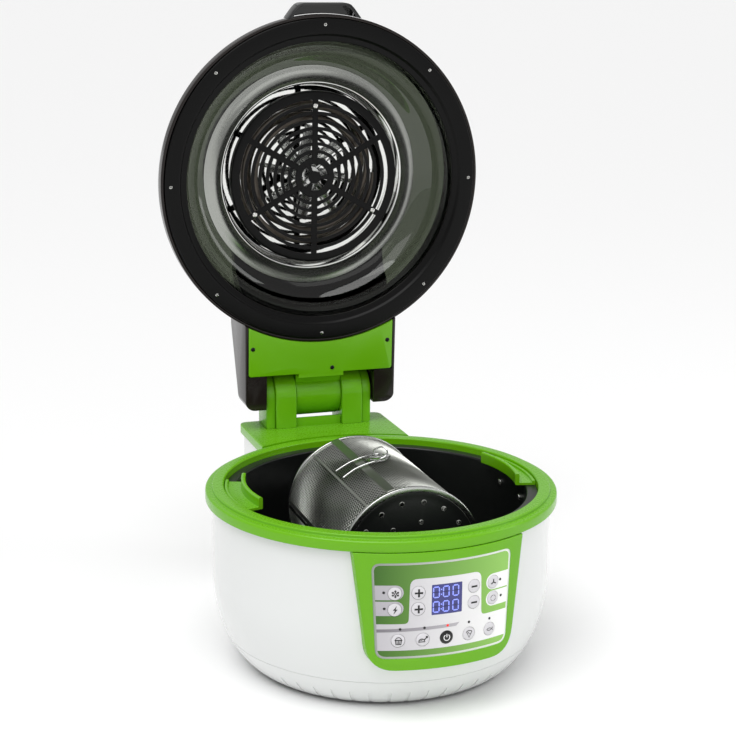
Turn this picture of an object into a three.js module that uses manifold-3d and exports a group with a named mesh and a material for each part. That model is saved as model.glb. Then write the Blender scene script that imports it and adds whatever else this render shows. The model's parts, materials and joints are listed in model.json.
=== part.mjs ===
// A hot-air fryer: a round base with a lift-out pot, a rotisserie drum and a hinged heater lid.
// Millimetres, +Z up, front towards -Y. The pot's axis is x = y = 0 while the pieces are made, and
// the finished assembly is shifted so that the middle of its box stands over the origin.
import * as THREE from 'three';
import { mergeVertices } from 'three/addons/utils/BufferGeometryUtils.js';
import Module from 'manifold-3d';

const wasm = await Module();
wasm.setup();

// ---- driving dimensions -------------------------------------------------------------------
const GAP = 0.3; // between two pieces that touch
const RUN = 0.6; // between two pieces that move past each other
const ROUND = 40; // sides of the large turned pieces
const SMALL = 16; // sides of small turned pieces

const RIM_Z = 171; // top of the green rim, where the lid closes
const BODY_R = 158.8; // the housing where its wall is straight
const RIM_R = BODY_R + 6.2; // outer radius of the rim
const RIM_LAND_R = RIM_R - 6.5; // outer radius of the raised land
const RIM_OPEN_R = RIM_R - 17.5; // radius of the opening
const RIM_STEP = 3; // the ledge lies this far below the land
const RIM_SKIRT = 13; // the skirt's lower edge below the land
const RIM_WALL = 2.8;
const RIM_ROOF = 5.6; // from the land down to the inside of the rim
const POT_SEAT = 2.6; // the ledge that holds the heat shield, above the skirt's lower edge
const SEAT_W = 3; // width of that ledge
const SEAT_T = 3.1; // its thickness
const WEB = [19.5, 23]; // the upstand under the hinge, in front of the hinge axis
const WEB_H = 9;
const FAR = 300; // beyond the object on every side

const BODY_WALL = 2.7;
const BELLY_Z = RIM_Z - 81; // the wall curves in below this height
const BELLY_DROP = BELLY_Z + 2; // height of the curve's ellipse
const BELLY_DEPTH = 50; // its width
const BELLY_STEPS = 5;
const BASE_Z = 3; // underside of the body
const SEAM_Z = 31; // between the housing and the base ring
const PLATE_T = 3;

const HINGE_Y = BODY_R + 68.7;
const HINGE_Z = RIM_Z + 31.5;
const DECK_X = 78; // half width of the rear deck
const DECK_Y = HINGE_Y + 11.5; // its rear edge
const DECK_T = 10;
const DECK_CORNER = 10;

const FOOT_OUT_R = BODY_R - 40.8;
const FOOT_IN_R = FOOT_OUT_R - 12;
const FEET = [ // name, its middle and half its span, in degrees
  ['foot_front', -90, 20], ['foot_right', 25, 12], ['foot_left', 155, 12],
];
const REAR_FOOT_X = 45;
const REAR_FOOT_Y = HINGE_Y - 5.5;
const REAR_FOOT_D = 12;
const GLAND_X = -50; // where the cord leaves, at the rear
const GLAND_Z = SEAM_Z + 20;
const GLAND_R = 5;
const GLAND_HEAD_R = 8;
const GLAND_BORE_R = 3;
const GLAND_DEPTH = 14;

const LID_OPEN = 88; // degrees from closed, the resting position
const PIN_R = 5;
const PIN_CLEAR = 0.3;
const BARREL_R = 24;
const BARREL_X = 24.2; // half length
const TOWER_X = 47; // outer face of a hinge tower
const TOWER_R = 26.5;
const TOWER_BACK = 10.5; // the tower's rear face behind the hinge axis
const CAP_X = 57; // outer face of a tower's cap
const CAP_STEP = 2.5;
const SPRING_R = 9;
const SPRING_WIRE = 1.4;
const SPRING_TURNS = 4;
const SPRING_STEPS = 9; // steps in one turn

const LID_PLANE = 0.4; // the closed lid's lower face above the rim
const LID_RING_R = RIM_R - 2.6;
const LID_RING_T = 5;
const LID_RING_W = 11; // width of the ring's thick outer band
const LID_LIP_R = RIM_OPEN_R - 7.8; // inner edge of the retaining ring
const LID_LIP_RISE = 5.5; // that edge lies this far above the ring's lower face
const LID_R = RIM_R + 1; // outer shell
const LID_WALL = 3;
const LID_SKIRT = 14; // height of the shell's upright edge
const LID_LIFT = 2; // the shell's lower edge above the lid plane
const LID_SLOPE = [[3, 6], [9, 10]]; // the shell's shoulder: how far in, how far up
const LID_CROWN = 14; // the shell's inner edge above its upright edge
const GLASS_T = 3;
const GLASS_IN_R = LID_LIP_R - 31.7; // the bowl's flat starts here
const GLASS_RISE = 42;
const GLASS_HOLE_R = GLASS_IN_R - 9.4;
const GLASS_STEPS = 4;
const HEATER_R = GLASS_HOLE_R - 2.4; // the reflector can
const HEATER_WALL = 1.4;
const HEATER_Z = 41; // its mouth above the lid plane
const HEATER_H = 24;
const GRILLE_R = HEATER_R - 8.2;
const GRILLE_Z = 31.5; // the grille's face above the lid plane
const GRILLE_T = 1.4;
const GRILLE_RIM = 9;
const GRILLE_ROWS = 6;
const GRILLE_SPOKES = 6;
const GRILLE_HUB_R = 20;
const GRILLE_EDGE = 8;
const HUB_SLOTS = 3; // the slots round the grille's middle
const HUB_SLOT_IN_R = 7;
const HUB_SLOT_OUT_R = 14;
const HUB_SLOT_START = 12; // degrees
const SLOT_SHARE = 0.6; // the open share of a row's pitch
const SPOKE_W = 6;
const COIL_R = 70;
const COIL_WIRE = 3.2;
const COIL_Z = 11; // above the heater's mouth
const FAN_R = 48;
const FAN_BLADES = 8;
const BLADE_Z = [2, 18]; // above the heater's mouth
const FAN_BLADE_HALF = 0.9;
const FAN_HUB_R = 12;
const FAN_HUB_Z = [4, 20];
const SHAFT_R = 4;
const MOTOR_R = 32;
const MOTOR_H = 24;
const COVER_R = GLASS_IN_R - 1;
const COVER_H = 56; // the motor cover's height above the glass
const COVER_WALL = 3;
const COVER_TOP_R = 60; // the cover's top is flat inside this radius
const ARM_X = 80.8;
const ARM_WALL = 3;
const ARM_TOP = 33; // top face above the hinge axis
const ARM_BACK = 8.5; // rear face behind the hinge axis
const ARM_PLATE_T = 3.7;
const ARM_PLATE_Y = HINGE_Y - 28; // the green plate's edge by the hinge
const ARM_PLATE_BACK = 120; // its far edge, under the lid
const ARM_PLATE_Z = 0.6; // its face above the lid plane
const ARM_SIDE = 3; // from the towers' caps to the arm's cheeks
const ARM_FRONT = 50; // the arm reaches under the motor cover from here
const HANDLE_Y = LID_R + 11; // how far the lid's handle reaches to the front
const HANDLE_BEND = LID_R - 5; // its sides are straight up to here
const HANDLE_ROOT = LID_R - 16;
const HANDLE_Z = 2.5; // its lower face above the lid plane
const HANDLE_TOP_X = 27;
const HANDLE_ROOT_X = 39;
const HANDLE_H = 16;
const HANDLE_WALL = 2.6;

const PANEL_TURN = 1.7; // degrees towards +X
const BEZEL_R = BODY_R + 7.2;
const BEZEL_TOP_X = 79.5;
const BEZEL_LOW_X = 66.5;
const BEZEL_TOP_Z = RIM_Z - 13.5;
const BEZEL_LOW_Z = BEZEL_TOP_Z - 107;
const BEZEL_CORNER = 20;
const WINDOW_TOP_X = 65.5;
const WINDOW_LOW_X = 61.5;
const WINDOW_TOP_Z = BEZEL_TOP_Z - 8.5;
const WINDOW_LOW_Z = WINDOW_TOP_Z - 87.5;
const WINDOW_CORNER = 8;
const PANEL_R = BEZEL_R - 0.8; // the membrane panel's face
const PANEL_BACK_R = PANEL_R - 2.8;
const PANEL_FLOOR_R = PANEL_R - 4;
const PANEL_DEPTH = BODY_R - 38.8; // the panel's prisms are drawn back to here
const BUTTON_R = 6;
const BUTTON_TRAVEL = 0.9;
const BUTTON_DOME = 1.3; // the button's crown above the panel
const DISPLAY_X = 14.2; // half width
const DISPLAY_TOP = WINDOW_TOP_Z - 21.5;
const DISPLAY_LOW = DISPLAY_TOP - 27.5;
const ROW_1 = WINDOW_TOP_Z - 27.6; // heights of the button rows
const ROW_2 = ROW_1 - 14.7;
const ROW_3 = ROW_2 - 28.4;
const BOARD_X = 38; // half width of the circuit board behind the panel
const BOARD_Y = BODY_R - 10.2;
const BOARD_T = 1.6;
const BOARD_LOW = DISPLAY_LOW - 25;
const BOARD_TOP = DISPLAY_TOP + 12;
const NEAR_TURN = 9; // degrees from the panel's middle to its button columns
const FAR_TURN = 16.1;
const LOW_PITCH = 7.5;

const LINER_R = RIM_OPEN_R - SEAT_W - GAP; // the heat shield around the pot
const LINER_WALL = 1.4;
const LINER_Z = 30;
const LINER_CORNER = [5, 10]; // how far in, how far up
const POT_R = LINER_R - 5.3;
const POT_WALL = 2.2;
const POT_FLOOR_Z = 38;
const POT_CORNER = 20;
const POT_FLANGE_T = 2;
const GRIP_IN_R = POT_R - 11.4; // the pot's lifting grips
const GRIP_LIP = 4;
const GRIP_T = 2.2; // thickness of the channel's floor
const GRIP_EDGE_W = 3.2; // its outer edge
const GRIP_EDGE_H = 4.2;
const GRIP_TOP = 5; // above the rim
const GRIP_SPAN = 17.5; // degrees each way
const GRIP_TURN = 3; // degrees towards the rear

const DRUM_Z = RIM_Z - 46.5;
const DRUM_R = DRUM_Z - POT_FLOOR_Z - 20.5;
const DRUM_FRONT = 49.9 - POT_R;
const DRUM_BACK = POT_R - 51.9;
const DRUM_WALL = 0.9;
const DRUM_RIM_R = DRUM_R + 1.3;
const DRUM_RIM_W = 3.4;
const DRUM_RIM_T = 5;
const DRUM_SIDES = 28;
const DOOR_START = 17; // degrees from the top, towards -X
const DOOR_END = 87;
const STRIP_HALF = 3.4; // degrees
const STRIP_T = 1.3;
const END_T = 1.6;
const END_BULGE = 5;
const END_FLAT = 6; // width of the end's flat edge
const END_HOLE_R = 2;
const END_HOLES = 10;
const END_HOLE_PCD_R = DRUM_R - 13;
const END_HOLE_START = 11; // degrees
const AXLE_R = 5;
const BUSH_R = 9;
const BUSH_FRONT = DRUM_FRONT - 22;
const BUSH_BACK = BUSH_FRONT + 10;
const CRADLE_X = 14; // half width
const CRADLE_H = 20;
const SQUARE = 10; // across the spindle's square end
const HUB = 22; // across the drum's drive fork
const HUB_LENGTH = 15;
const SPINDLE_R = 8;
const SPINDLE_BACK = POT_R + 21.1;
const COUPLER_R = 7; // the short shaft in the pot's rear wall
const COUPLER_FLANGE_R = 10;
const COUPLER_FLANGE_T = 3;
const BLADE_HALF = 2; // half thickness of the coupler's outer blade
const BLADE_R = 6; // half its height
const BLADE_LENGTH = 2.7; // how far it reaches out of the pot's wall
const DRIVE_R = 22;
const DRIVE_BACK = HINGE_Y - 5.5;
const LATCH_WIRE = 0.9;
const LATCH_R = DRUM_R + 3.6;
const LATCH_TURN = 36; // degrees from the top to the latch's pivot
const LATCH_HALF = 10; // half the space between its two legs

// ---- helpers ------------------------------------------------------------------------------
const rad = THREE.MathUtils.degToRad;

function toSolid(geometry) {
  const bare = geometry.clone();
  bare.deleteAttribute('normal');
  bare.deleteAttribute('uv');
  const merged = mergeVertices(bare, 1e-4);
  const corners = merged.index.array;
  const spots = merged.attributes.position;
  const faces = [];
  let volume = 0;
  const [a, b, c] = [new THREE.Vector3(), new THREE.Vector3(), new THREE.Vector3()];
  for (let i = 0; i < corners.length; i += 3) {
    const [p, q, r] = [corners[i], corners[i + 1], corners[i + 2]];
    if (p === q || q === r || p === r) continue;
    faces.push(p, q, r);
    volume += a.fromBufferAttribute(spots, p).dot(
      b.fromBufferAttribute(spots, q).cross(c.fromBufferAttribute(spots, r)));
  }
  if (volume < 0) faces.reverse();
  const mesh = new wasm.Mesh({
    numProp: 3,
    vertProperties: new Float32Array(spots.array),
    triVerts: new Uint32Array(faces),
  });
  return new wasm.Manifold(mesh);
}

function toGeometry(solid) {
  const mesh = solid.getMesh();
  const geometry = new THREE.BufferGeometry();
  geometry.setAttribute('position', new THREE.BufferAttribute(new Float32Array(mesh.vertProperties), 3));
  geometry.setIndex(new THREE.BufferAttribute(new Uint32Array(mesh.triVerts), 1));
  return geometry;
}

const join = (first, ...rest) =>
  toGeometry(rest.reduce((solid, next) => solid.add(toSolid(next)), toSolid(first)));
const cut = (first, ...rest) =>
  toGeometry(rest.reduce((solid, next) => solid.subtract(toSolid(next)), toSolid(first)));
const common = (first, second) => toGeometry(toSolid(first).intersect(toSolid(second)));

// A profile of [radius, height] points turned about Z. One that starts and ends on the axis is
// left open there, and any other is closed.
function turned(profile, sides = ROUND) {
  const points = profile.map(([r, z]) => new THREE.Vector2(r, z));
  if (profile[0][0] > 0) points.push(points[0].clone());
  return new THREE.LatheGeometry(points, sides).rotateX(Math.PI / 2);
}

function block([x0, x1], [y0, y1], [z0, z1]) {
  const box = new THREE.BoxGeometry(x1 - x0, y1 - y0, z1 - z0);
  return box.translate((x0 + x1) / 2, (y0 + y1) / 2, (z0 + z1) / 2);
}

const disc = (radius, z0, z1, sides = ROUND) =>
  turned([[0, z0], [radius, z0], [radius, z1], [0, z1]], sides);

// Round bars along X and Y through (y, z) or (x, z).
const barX = (radius, x0, x1, y, z, sides = SMALL) =>
  disc(radius, x0, x1, sides).rotateY(Math.PI / 2).translate(0, y, z);
const barY = (radius, y0, y1, x, z, sides = SMALL) =>
  disc(radius, -y1, -y0, sides).rotateX(Math.PI / 2).translate(x, 0, z);

function slab(shape, z0, z1, curveSegments = 4) {
  const solid = new THREE.ExtrudeGeometry(shape, { depth: z1 - z0, bevelEnabled: false, curveSegments });
  return solid.translate(0, 0, z0);
}

// A shape drawn in X and Z, carried along Y.
function upright(shape, y0, y1, curveSegments = 4) {
  return slab(shape, -y1, -y0, curveSegments).rotateX(Math.PI / 2);
}

// A shape drawn in Y and Z, carried along X.
function sideways(shape, x0, x1, curveSegments = 4) {
  const turn = new THREE.Matrix4().makeBasis(
    new THREE.Vector3(0, 1, 0), new THREE.Vector3(0, 0, 1), new THREE.Vector3(1, 0, 0));
  return slab(shape, x0, x1, curveSegments).applyMatrix4(turn);
}

function polygon(points) {
  return new THREE.Shape(points.map(([x, y]) => new THREE.Vector2(x, y)));
}

function roundedBox(x, y0, y1, corner) {
  const shape = new THREE.Shape();
  shape.moveTo(-x, y0);
  shape.lineTo(x, y0);
  shape.lineTo(x, y1 - corner);
  shape.absarc(x - corner, y1 - corner, corner, 0, Math.PI / 2);
  shape.absarc(corner - x, y1 - corner, corner, Math.PI / 2, Math.PI);
  return shape;
}

// A bent strip between two radii, from one angle to another, drawn in X and Z or X and Y.
function arcShape(inner, outer, from, to) {
  const shape = new THREE.Shape();
  shape.absarc(0, 0, outer, rad(from), rad(to), false);
  shape.absarc(0, 0, inner, rad(to), rad(from), true);
  return shape;
}

const materials = {
  white: { color: 0xf2f3f2, roughness: 0.25 },
  green: { color: 0x7ec433, roughness: 0.35 },
  black: { color: 0x141414, roughness: 0.35 },
  brown: { color: 0x2b2422, roughness: 0.2 },
  smoked: { color: 0x2f332b, roughness: 0.08, transparent: true, opacity: 0.6 },
  steel: { color: 0xb8bab8, roughness: 0.25, metalness: 1 },
  rubber: { color: 0x1c1c1c, roughness: 0.8 },
  coated: { color: 0x18191a, roughness: 0.4 },
  panel: { color: 0xdcdddc, roughness: 0.4 },
  display: { color: 0x1a2a80, roughness: 0.2 },
  board: { color: 0x1d5a2e, roughness: 0.6 },
};

function piece(parent, name, geometry, material) {
  const finish = new THREE.MeshStandardMaterial(materials[material]);
  const mesh = new THREE.Mesh(toGeometry(toSolid(geometry)), finish);
  mesh.name = name;
  parent.add(mesh);
  return mesh;
}

// ---- base ---------------------------------------------------------------------------------
// Radius of the body's outer wall at a height: upright above, a quarter ellipse below.
function bellyRadius(z) {
  const drop = Math.max(0, BELLY_Z - z) / BELLY_DROP;
  return BODY_R - BELLY_DEPTH * (1 - Math.sqrt(1 - drop * drop));
}

// The body as one solid, drawn in by an inset: a round belly and the column under the rear deck.
function bodySolid(inset, z0, z1) {
  const profile = [[0, z0]];
  for (let i = 0; i <= BELLY_STEPS; i++) {
    const z = z0 + (BELLY_Z - z0) * Math.sin((Math.PI / 2) * (i / BELLY_STEPS));
    profile.push([bellyRadius(z) - inset, z]);
  }
  profile.push([BODY_R - inset, z1], [0, z1]);
  const half = DECK_X - RIM_WALL - GAP - inset;
  const rear = roundedBox(half, 0, DECK_Y - RIM_WALL - GAP - inset, DECK_CORNER);
  return join(turned(profile), slab(rear, z0, z1));
}

function bodyShell(z0, z1) {
  const walls = cut(bodySolid(0, BASE_Z, RIM_Z), bodySolid(BODY_WALL, BASE_Z - 1, RIM_Z + 1));
  return common(walls, block([-FAR, FAR], [-FAR, FAR], [z0, z1]));
}

function addBody(base) {
  const top = RIM_Z - DECK_T + RIM_WALL;
  const gland = (radius, front, back) => barY(radius, front, back, GLAND_X, GLAND_Z);
  const housing = cut(
    bodyShell(SEAM_Z + GAP, top + 1), gland(GLAND_R + GAP, DECK_Y - 2 * GLAND_DEPTH, DECK_Y + 1));
  piece(base, 'outer_housing', housing, 'white');
  piece(base, 'base_ring', bodyShell(BASE_Z, SEAM_Z), 'white');
  const floor = common(
    bodySolid(BODY_WALL + GAP, BASE_Z - 1, RIM_Z),
    block([-FAR, FAR], [-FAR, FAR], [BASE_Z, BASE_Z + PLATE_T]),
  );
  piece(base, 'base_plate', floor, 'black');
  const sleeve = cut(
    join(gland(GLAND_HEAD_R, DECK_Y - RIM_WALL, DECK_Y - 0.5),
      gland(GLAND_R, DECK_Y - GLAND_DEPTH, DECK_Y - RIM_WALL + 1)),
    gland(GLAND_BORE_R, DECK_Y - 2 * GLAND_DEPTH, DECK_Y + 1),
  );
  piece(base, 'cord_gland', sleeve, 'rubber');
}

function addFeet(base) {
  const top = BASE_Z - GAP;
  for (const [name, middle, half] of FEET) {
    const pad = arcShape(FOOT_IN_R, FOOT_OUT_R, middle - half, middle + half);
    piece(base, name, slab(pad, 0, top), 'rubber');
  }
  const [low, high] = [REAR_FOOT_Y - REAR_FOOT_D / 2, REAR_FOOT_Y + REAR_FOOT_D / 2];
  piece(base, 'foot_rear', block([-REAR_FOOT_X, REAR_FOOT_X], [low, high], [0, top]), 'rubber');
}

function rimProfile() {
  const ledge = RIM_Z - RIM_STEP;
  const skirt = RIM_Z - RIM_SKIRT;
  const seat = skirt + POT_SEAT;
  const inside = RIM_OPEN_R + SEAT_W;
  return [
    [RIM_OPEN_R, RIM_Z], [RIM_OPEN_R, seat], [RIM_OPEN_R - SEAT_W, seat],
    [RIM_OPEN_R - SEAT_W, seat - SEAT_T], [inside, seat - SEAT_T], [inside, RIM_Z - RIM_ROOF],
    [RIM_R - RIM_WALL, RIM_Z - RIM_ROOF], [RIM_R - RIM_WALL, skirt], [RIM_R, skirt],
    [RIM_R, ledge], [RIM_LAND_R, ledge], [RIM_LAND_R, RIM_Z],
  ];
}

// The green rim with its rear deck, one moulding.
function addRim(base) {
  const opening = disc(RIM_OPEN_R + SEAT_W, 0, FAR);
  const deck = slab(roundedBox(DECK_X, 0, DECK_Y, DECK_CORNER), RIM_Z - DECK_T, RIM_Z);
  const hollow = slab(
    roundedBox(DECK_X - RIM_WALL, 0, DECK_Y - RIM_WALL, DECK_CORNER - RIM_WALL),
    RIM_Z - RIM_SKIRT - 1, RIM_Z - RIM_ROOF);
  const tray = cut(deck, hollow, disc(RIM_OPEN_R + 2, 0, FAR));
  const skirtRoom = cut(
    common(disc(RIM_R - RIM_WALL, 0, RIM_Z - RIM_ROOF), block([-FAR, FAR], [0, FAR], [0, FAR])), opening);
  const rearRoom = common(hollow, block([-FAR, FAR], [RIM_R / 2, FAR], [0, FAR]));
  const ring = cut(turned(rimProfile()), cut(rearRoom, opening));
  const web = block(
    [-BARREL_X, BARREL_X], [HINGE_Y - WEB[1], HINGE_Y - WEB[0]], [RIM_Z - 1, RIM_Z + WEB_H]);
  piece(base, 'rim_ring', join(cut(tray, skirtRoom), ring, web), 'green');
}

// Side view of a hinge tower: upright in front, round over the hinge, upright behind.
function towerShape(radius, back) {
  const shape = new THREE.Shape();
  const foot = RIM_Z + GAP;
  shape.moveTo(HINGE_Y + back, foot);
  shape.absarc(HINGE_Y, HINGE_Z, radius, Math.acos(back / radius), Math.PI, false);
  shape.lineTo(HINGE_Y - radius, foot);
  return shape;
}

function addTowers(base) {
  const bore = barX(PIN_R + PIN_CLEAR, -TOWER_X - 1, TOWER_X + 1, HINGE_Y, HINGE_Z);
  const inner = BARREL_X + RUN;
  for (const [side, from, to] of [['left', -TOWER_X, -inner], ['right', inner, TOWER_X]]) {
    const tower = cut(sideways(towerShape(TOWER_R, TOWER_BACK), from, to, 8), bore);
    piece(base, `hinge_tower_${side}`, tower, 'green');
  }
  for (const [side, from, to] of [['left', -CAP_X, -TOWER_X - GAP], ['right', TOWER_X + GAP, CAP_X]]) {
    const cap = sideways(towerShape(TOWER_R - CAP_STEP, TOWER_BACK - CAP_STEP), from, to, 8);
    piece(base, `tower_cap_${side}`, cap, 'green');
  }
  piece(base, 'hinge_pin', barX(PIN_R, -TOWER_X + 1, TOWER_X - 1, HINGE_Y, HINGE_Z), 'steel');
}

class Coil extends THREE.Curve {
  getPoint(t) {
    const turn = 2 * Math.PI * SPRING_TURNS * t;
    const length = 2 * BARREL_X - 12;
    return new THREE.Vector3(
      length * (t - 0.5), HINGE_Y + SPRING_R * Math.cos(turn), HINGE_Z + SPRING_R * Math.sin(turn));
  }
}

function wireShape(radius, sides) {
  const points = [];
  for (let i = 0; i < sides; i++) {
    const turn = (2 * Math.PI * i) / sides;
    points.push([radius * Math.cos(turn), radius * Math.sin(turn)]);
  }
  return polygon(points);
}

function addSpring(base) {
  const spring = new THREE.ExtrudeGeometry(wireShape(SPRING_WIRE, 5), {
    steps: SPRING_TURNS * SPRING_STEPS, extrudePath: new Coil(), bevelEnabled: false,
  });
  piece(base, 'lid_spring', spring, 'steel');
}

// ---- control panel ------------------------------------------------------------------------
// A plate outline in X and Z, narrower below, with all corners rounded.
function panelShape(topX, lowX, topZ, lowZ, topCorner, lowCorner) {
  const shape = new THREE.Shape();
  shape.moveTo(topX - topCorner, topZ);
  shape.lineTo(topCorner - topX, topZ);
  shape.quadraticCurveTo(-topX, topZ, -topX, topZ - topCorner);
  shape.lineTo(-lowX, lowZ + lowCorner);
  shape.quadraticCurveTo(-lowX, lowZ, lowCorner - lowX, lowZ);
  shape.lineTo(lowX - lowCorner, lowZ);
  shape.quadraticCurveTo(lowX, lowZ, lowX, lowZ + lowCorner);
  shape.lineTo(topX, topZ - topCorner);
  shape.quadraticCurveTo(topX, topZ, topX - topCorner, topZ);
  return shape;
}

function panelPrism(inset, y0, y1) {
  const shape = panelShape(
    WINDOW_TOP_X - inset, WINDOW_LOW_X - inset, WINDOW_TOP_Z - inset, WINDOW_LOW_Z + inset,
    WINDOW_CORNER, WINDOW_CORNER);
  return upright(shape, y0, y1);
}

const buttons = [
  ['button_defrost', -FAR_TURN, ROW_1], ['button_turbo', -FAR_TURN, ROW_2],
  ['button_time_up', -NEAR_TURN, ROW_1], ['button_heat_up', -NEAR_TURN, ROW_2],
  ['button_time_down', NEAR_TURN, ROW_1], ['button_heat_down', NEAR_TURN, ROW_2],
  ['button_fan', FAR_TURN, ROW_1], ['button_lamp', FAR_TURN, ROW_2],
  ['button_fries', -2 * LOW_PITCH, ROW_3], ['button_meat', -LOW_PITCH, ROW_3],
  ['button_power', 0, ROW_3],
  ['button_pizza', LOW_PITCH, ROW_3], ['button_fish', 2 * LOW_PITCH, ROW_3],
];

function addPanel(base) {
  const turn = rad(PANEL_TURN);
  const sides = 2 * ROUND;
  const bezelShape = panelShape(
    BEZEL_TOP_X, BEZEL_LOW_X, BEZEL_TOP_Z, BEZEL_LOW_Z, 1, BEZEL_CORNER);
  const front = common(upright(bezelShape, -BEZEL_R - 5, -PANEL_DEPTH), disc(BEZEL_R, 0, FAR, sides));
  const recess = cut(panelPrism(0, -BEZEL_R - 6, -PANEL_DEPTH), disc(PANEL_FLOOR_R, 0, FAR, sides));
  const clear = bodySolid(-GAP, BASE_Z, RIM_Z);
  const bezel = cut(cut(front, recess).rotateZ(turn), clear);
  piece(base, 'control_bezel', bezel, 'green');

  const skin = turned(
    [[PANEL_BACK_R, 0], [PANEL_R, 0], [PANEL_R, FAR], [PANEL_BACK_R, FAR]], sides);
  const opening = polygon([
    [-DISPLAY_X, DISPLAY_LOW], [DISPLAY_X, DISPLAY_LOW],
    [DISPLAY_X, DISPLAY_TOP], [-DISPLAY_X, DISPLAY_TOP]]);
  const holes = buttons.map(([, angle, z]) =>
    barY(BUTTON_R + GAP, -PANEL_R - 5, -PANEL_BACK_R + 5, 0, z, 12).rotateZ(rad(angle)));
  const panel = cut(
    common(skin, panelPrism(GAP, -BEZEL_R - 5, -PANEL_DEPTH)),
    upright(opening, -BEZEL_R, -PANEL_DEPTH), ...holes);
  piece(base, 'control_panel', panel.rotateZ(turn), 'panel');

  const glass = polygon([
    [GAP - DISPLAY_X, DISPLAY_LOW + GAP], [DISPLAY_X - GAP, DISPLAY_LOW + GAP],
    [DISPLAY_X - GAP, DISPLAY_TOP - GAP], [GAP - DISPLAY_X, DISPLAY_TOP - GAP]]);
  const window = common(upright(glass, -BEZEL_R, -PANEL_DEPTH), skin);
  piece(base, 'display_window', window.rotateZ(turn), 'display');

  const board = block([-BOARD_X, BOARD_X], [-BOARD_Y, BOARD_T - BOARD_Y], [BOARD_LOW, BOARD_TOP]);
  piece(base, 'control_board', board, 'board');
}

function addButtons(base) {
  const crown = PANEL_R + BUTTON_DOME;
  const back = PANEL_FLOOR_R + BUTTON_TRAVEL + GAP;
  const profile = [[0, back], [BUTTON_R, back], [BUTTON_R, crown - 1], [BUTTON_R - 2, crown - 0.3], [0, crown]];
  for (const [name, angle, z] of buttons) {
    const holder = new THREE.Group();
    holder.rotation.z = rad(angle + PANEL_TURN);
    base.add(holder);
    const button = turned(profile, 12).rotateX(Math.PI / 2).translate(0, 0, z);
    piece(holder, name, button, name === 'button_power' ? 'black' : 'panel');
  }
}

// ---- heat shield, pot and drive -----------------------------------------------------------
function addLiner(base) {
  const seat = RIM_Z - RIM_SKIRT + POT_SEAT + GAP;
  const wall = LINER_R - LINER_WALL;
  const [bend, rise] = LINER_CORNER;
  const under = LINER_Z - LINER_WALL;
  const profile = [
    [0, under], [LINER_R - bend, under], [LINER_R, LINER_Z + rise], [LINER_R, seat],
    [RIM_OPEN_R - GAP, seat], [RIM_OPEN_R - GAP, seat + LINER_WALL], [wall, seat + LINER_WALL],
    [wall, LINER_Z + rise + 0.5], [wall - bend + 0.4, LINER_Z], [0, LINER_Z],
  ];
  const hole = barY(SPINDLE_R + 2 * RUN, POT_R, SPINDLE_BACK, 0, DRUM_Z);
  piece(base, 'pot_liner', cut(turned(profile), hole), 'steel');
}

const potFlangeZ = RIM_Z - RIM_SKIRT + POT_SEAT + GAP + LINER_WALL + GAP;

function addPot(pot) {
  const top = potFlangeZ + POT_FLANGE_T;
  const inner = POT_R - POT_WALL;
  const corner = [[0.3, 0.046], [0.7, 0.29], [0.95, 0.69]]; // points of a quarter round
  const outside = corner.map(([x, z]) => [POT_R - POT_CORNER * (1 - x), POT_FLOOR_Z + POT_CORNER * z]);
  const inside = corner.map(([x, z]) =>
    [inner - POT_CORNER * (1 - x), POT_FLOOR_Z + POT_WALL + POT_CORNER * z]).reverse();
  const profile = [
    [0, POT_FLOOR_Z], [POT_R - POT_CORNER, POT_FLOOR_Z], ...outside,
    [POT_R, POT_FLOOR_Z + POT_CORNER], [POT_R, potFlangeZ], [RIM_OPEN_R - GAP, potFlangeZ],
    [RIM_OPEN_R - GAP, top], [inner, top], [inner, POT_FLOOR_Z + POT_WALL + POT_CORNER],
    ...inside, [inner - POT_CORNER, POT_FLOOR_Z + POT_WALL], [0, POT_FLOOR_Z + POT_WALL],
  ];
  const hole = barY(COUPLER_R + GAP, POT_R - 10, POT_R + 10, 0, DRUM_Z);
  piece(pot, 'inner_pot', cut(turned(profile), hole), 'coated');
  addGrips(pot, top + GAP);

  const cradle = cut(
    block([-CRADLE_X, CRADLE_X], [-POT_R, BUSH_BACK + 2], [DRUM_Z - CRADLE_H, DRUM_Z]),
    barY(BUSH_R + GAP, -POT_R - 5, BUSH_BACK + 5, 0, DRUM_Z),
    cut(block([-FAR, FAR], [-POT_R - 5, BUSH_BACK], [0, FAR]), disc(inner - GAP, 0, FAR)),
  );
  piece(pot, 'drum_cradle', cradle, 'steel');
}

// The lifting grips: a channel that lies on the pot's flange, with a raised inner lip.
function addGrips(pot, z) {
  const outer = RIM_OPEN_R - RUN;
  const lip = GRIP_IN_R + GRIP_LIP;
  const profile = [
    [GRIP_IN_R, z], [outer, z], [outer, z + GRIP_EDGE_H], [outer - GRIP_EDGE_W, z + GRIP_EDGE_H],
    [outer - GRIP_EDGE_W, z + GRIP_T], [lip, z + GRIP_T], [lip, RIM_Z + GRIP_TOP],
    [GRIP_IN_R, RIM_Z + GRIP_TOP],
  ];
  const ring = turned(profile);
  for (const [name, middle] of [['pot_grip_right', GRIP_TURN], ['pot_grip_left', 180 - GRIP_TURN]]) {
    const wedge = slab(arcShape(POT_R / 2, RIM_R, middle - GRIP_SPAN, middle + GRIP_SPAN), 0, FAR);
    piece(pot, name, common(ring, wedge), 'green');
  }
}

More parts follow.
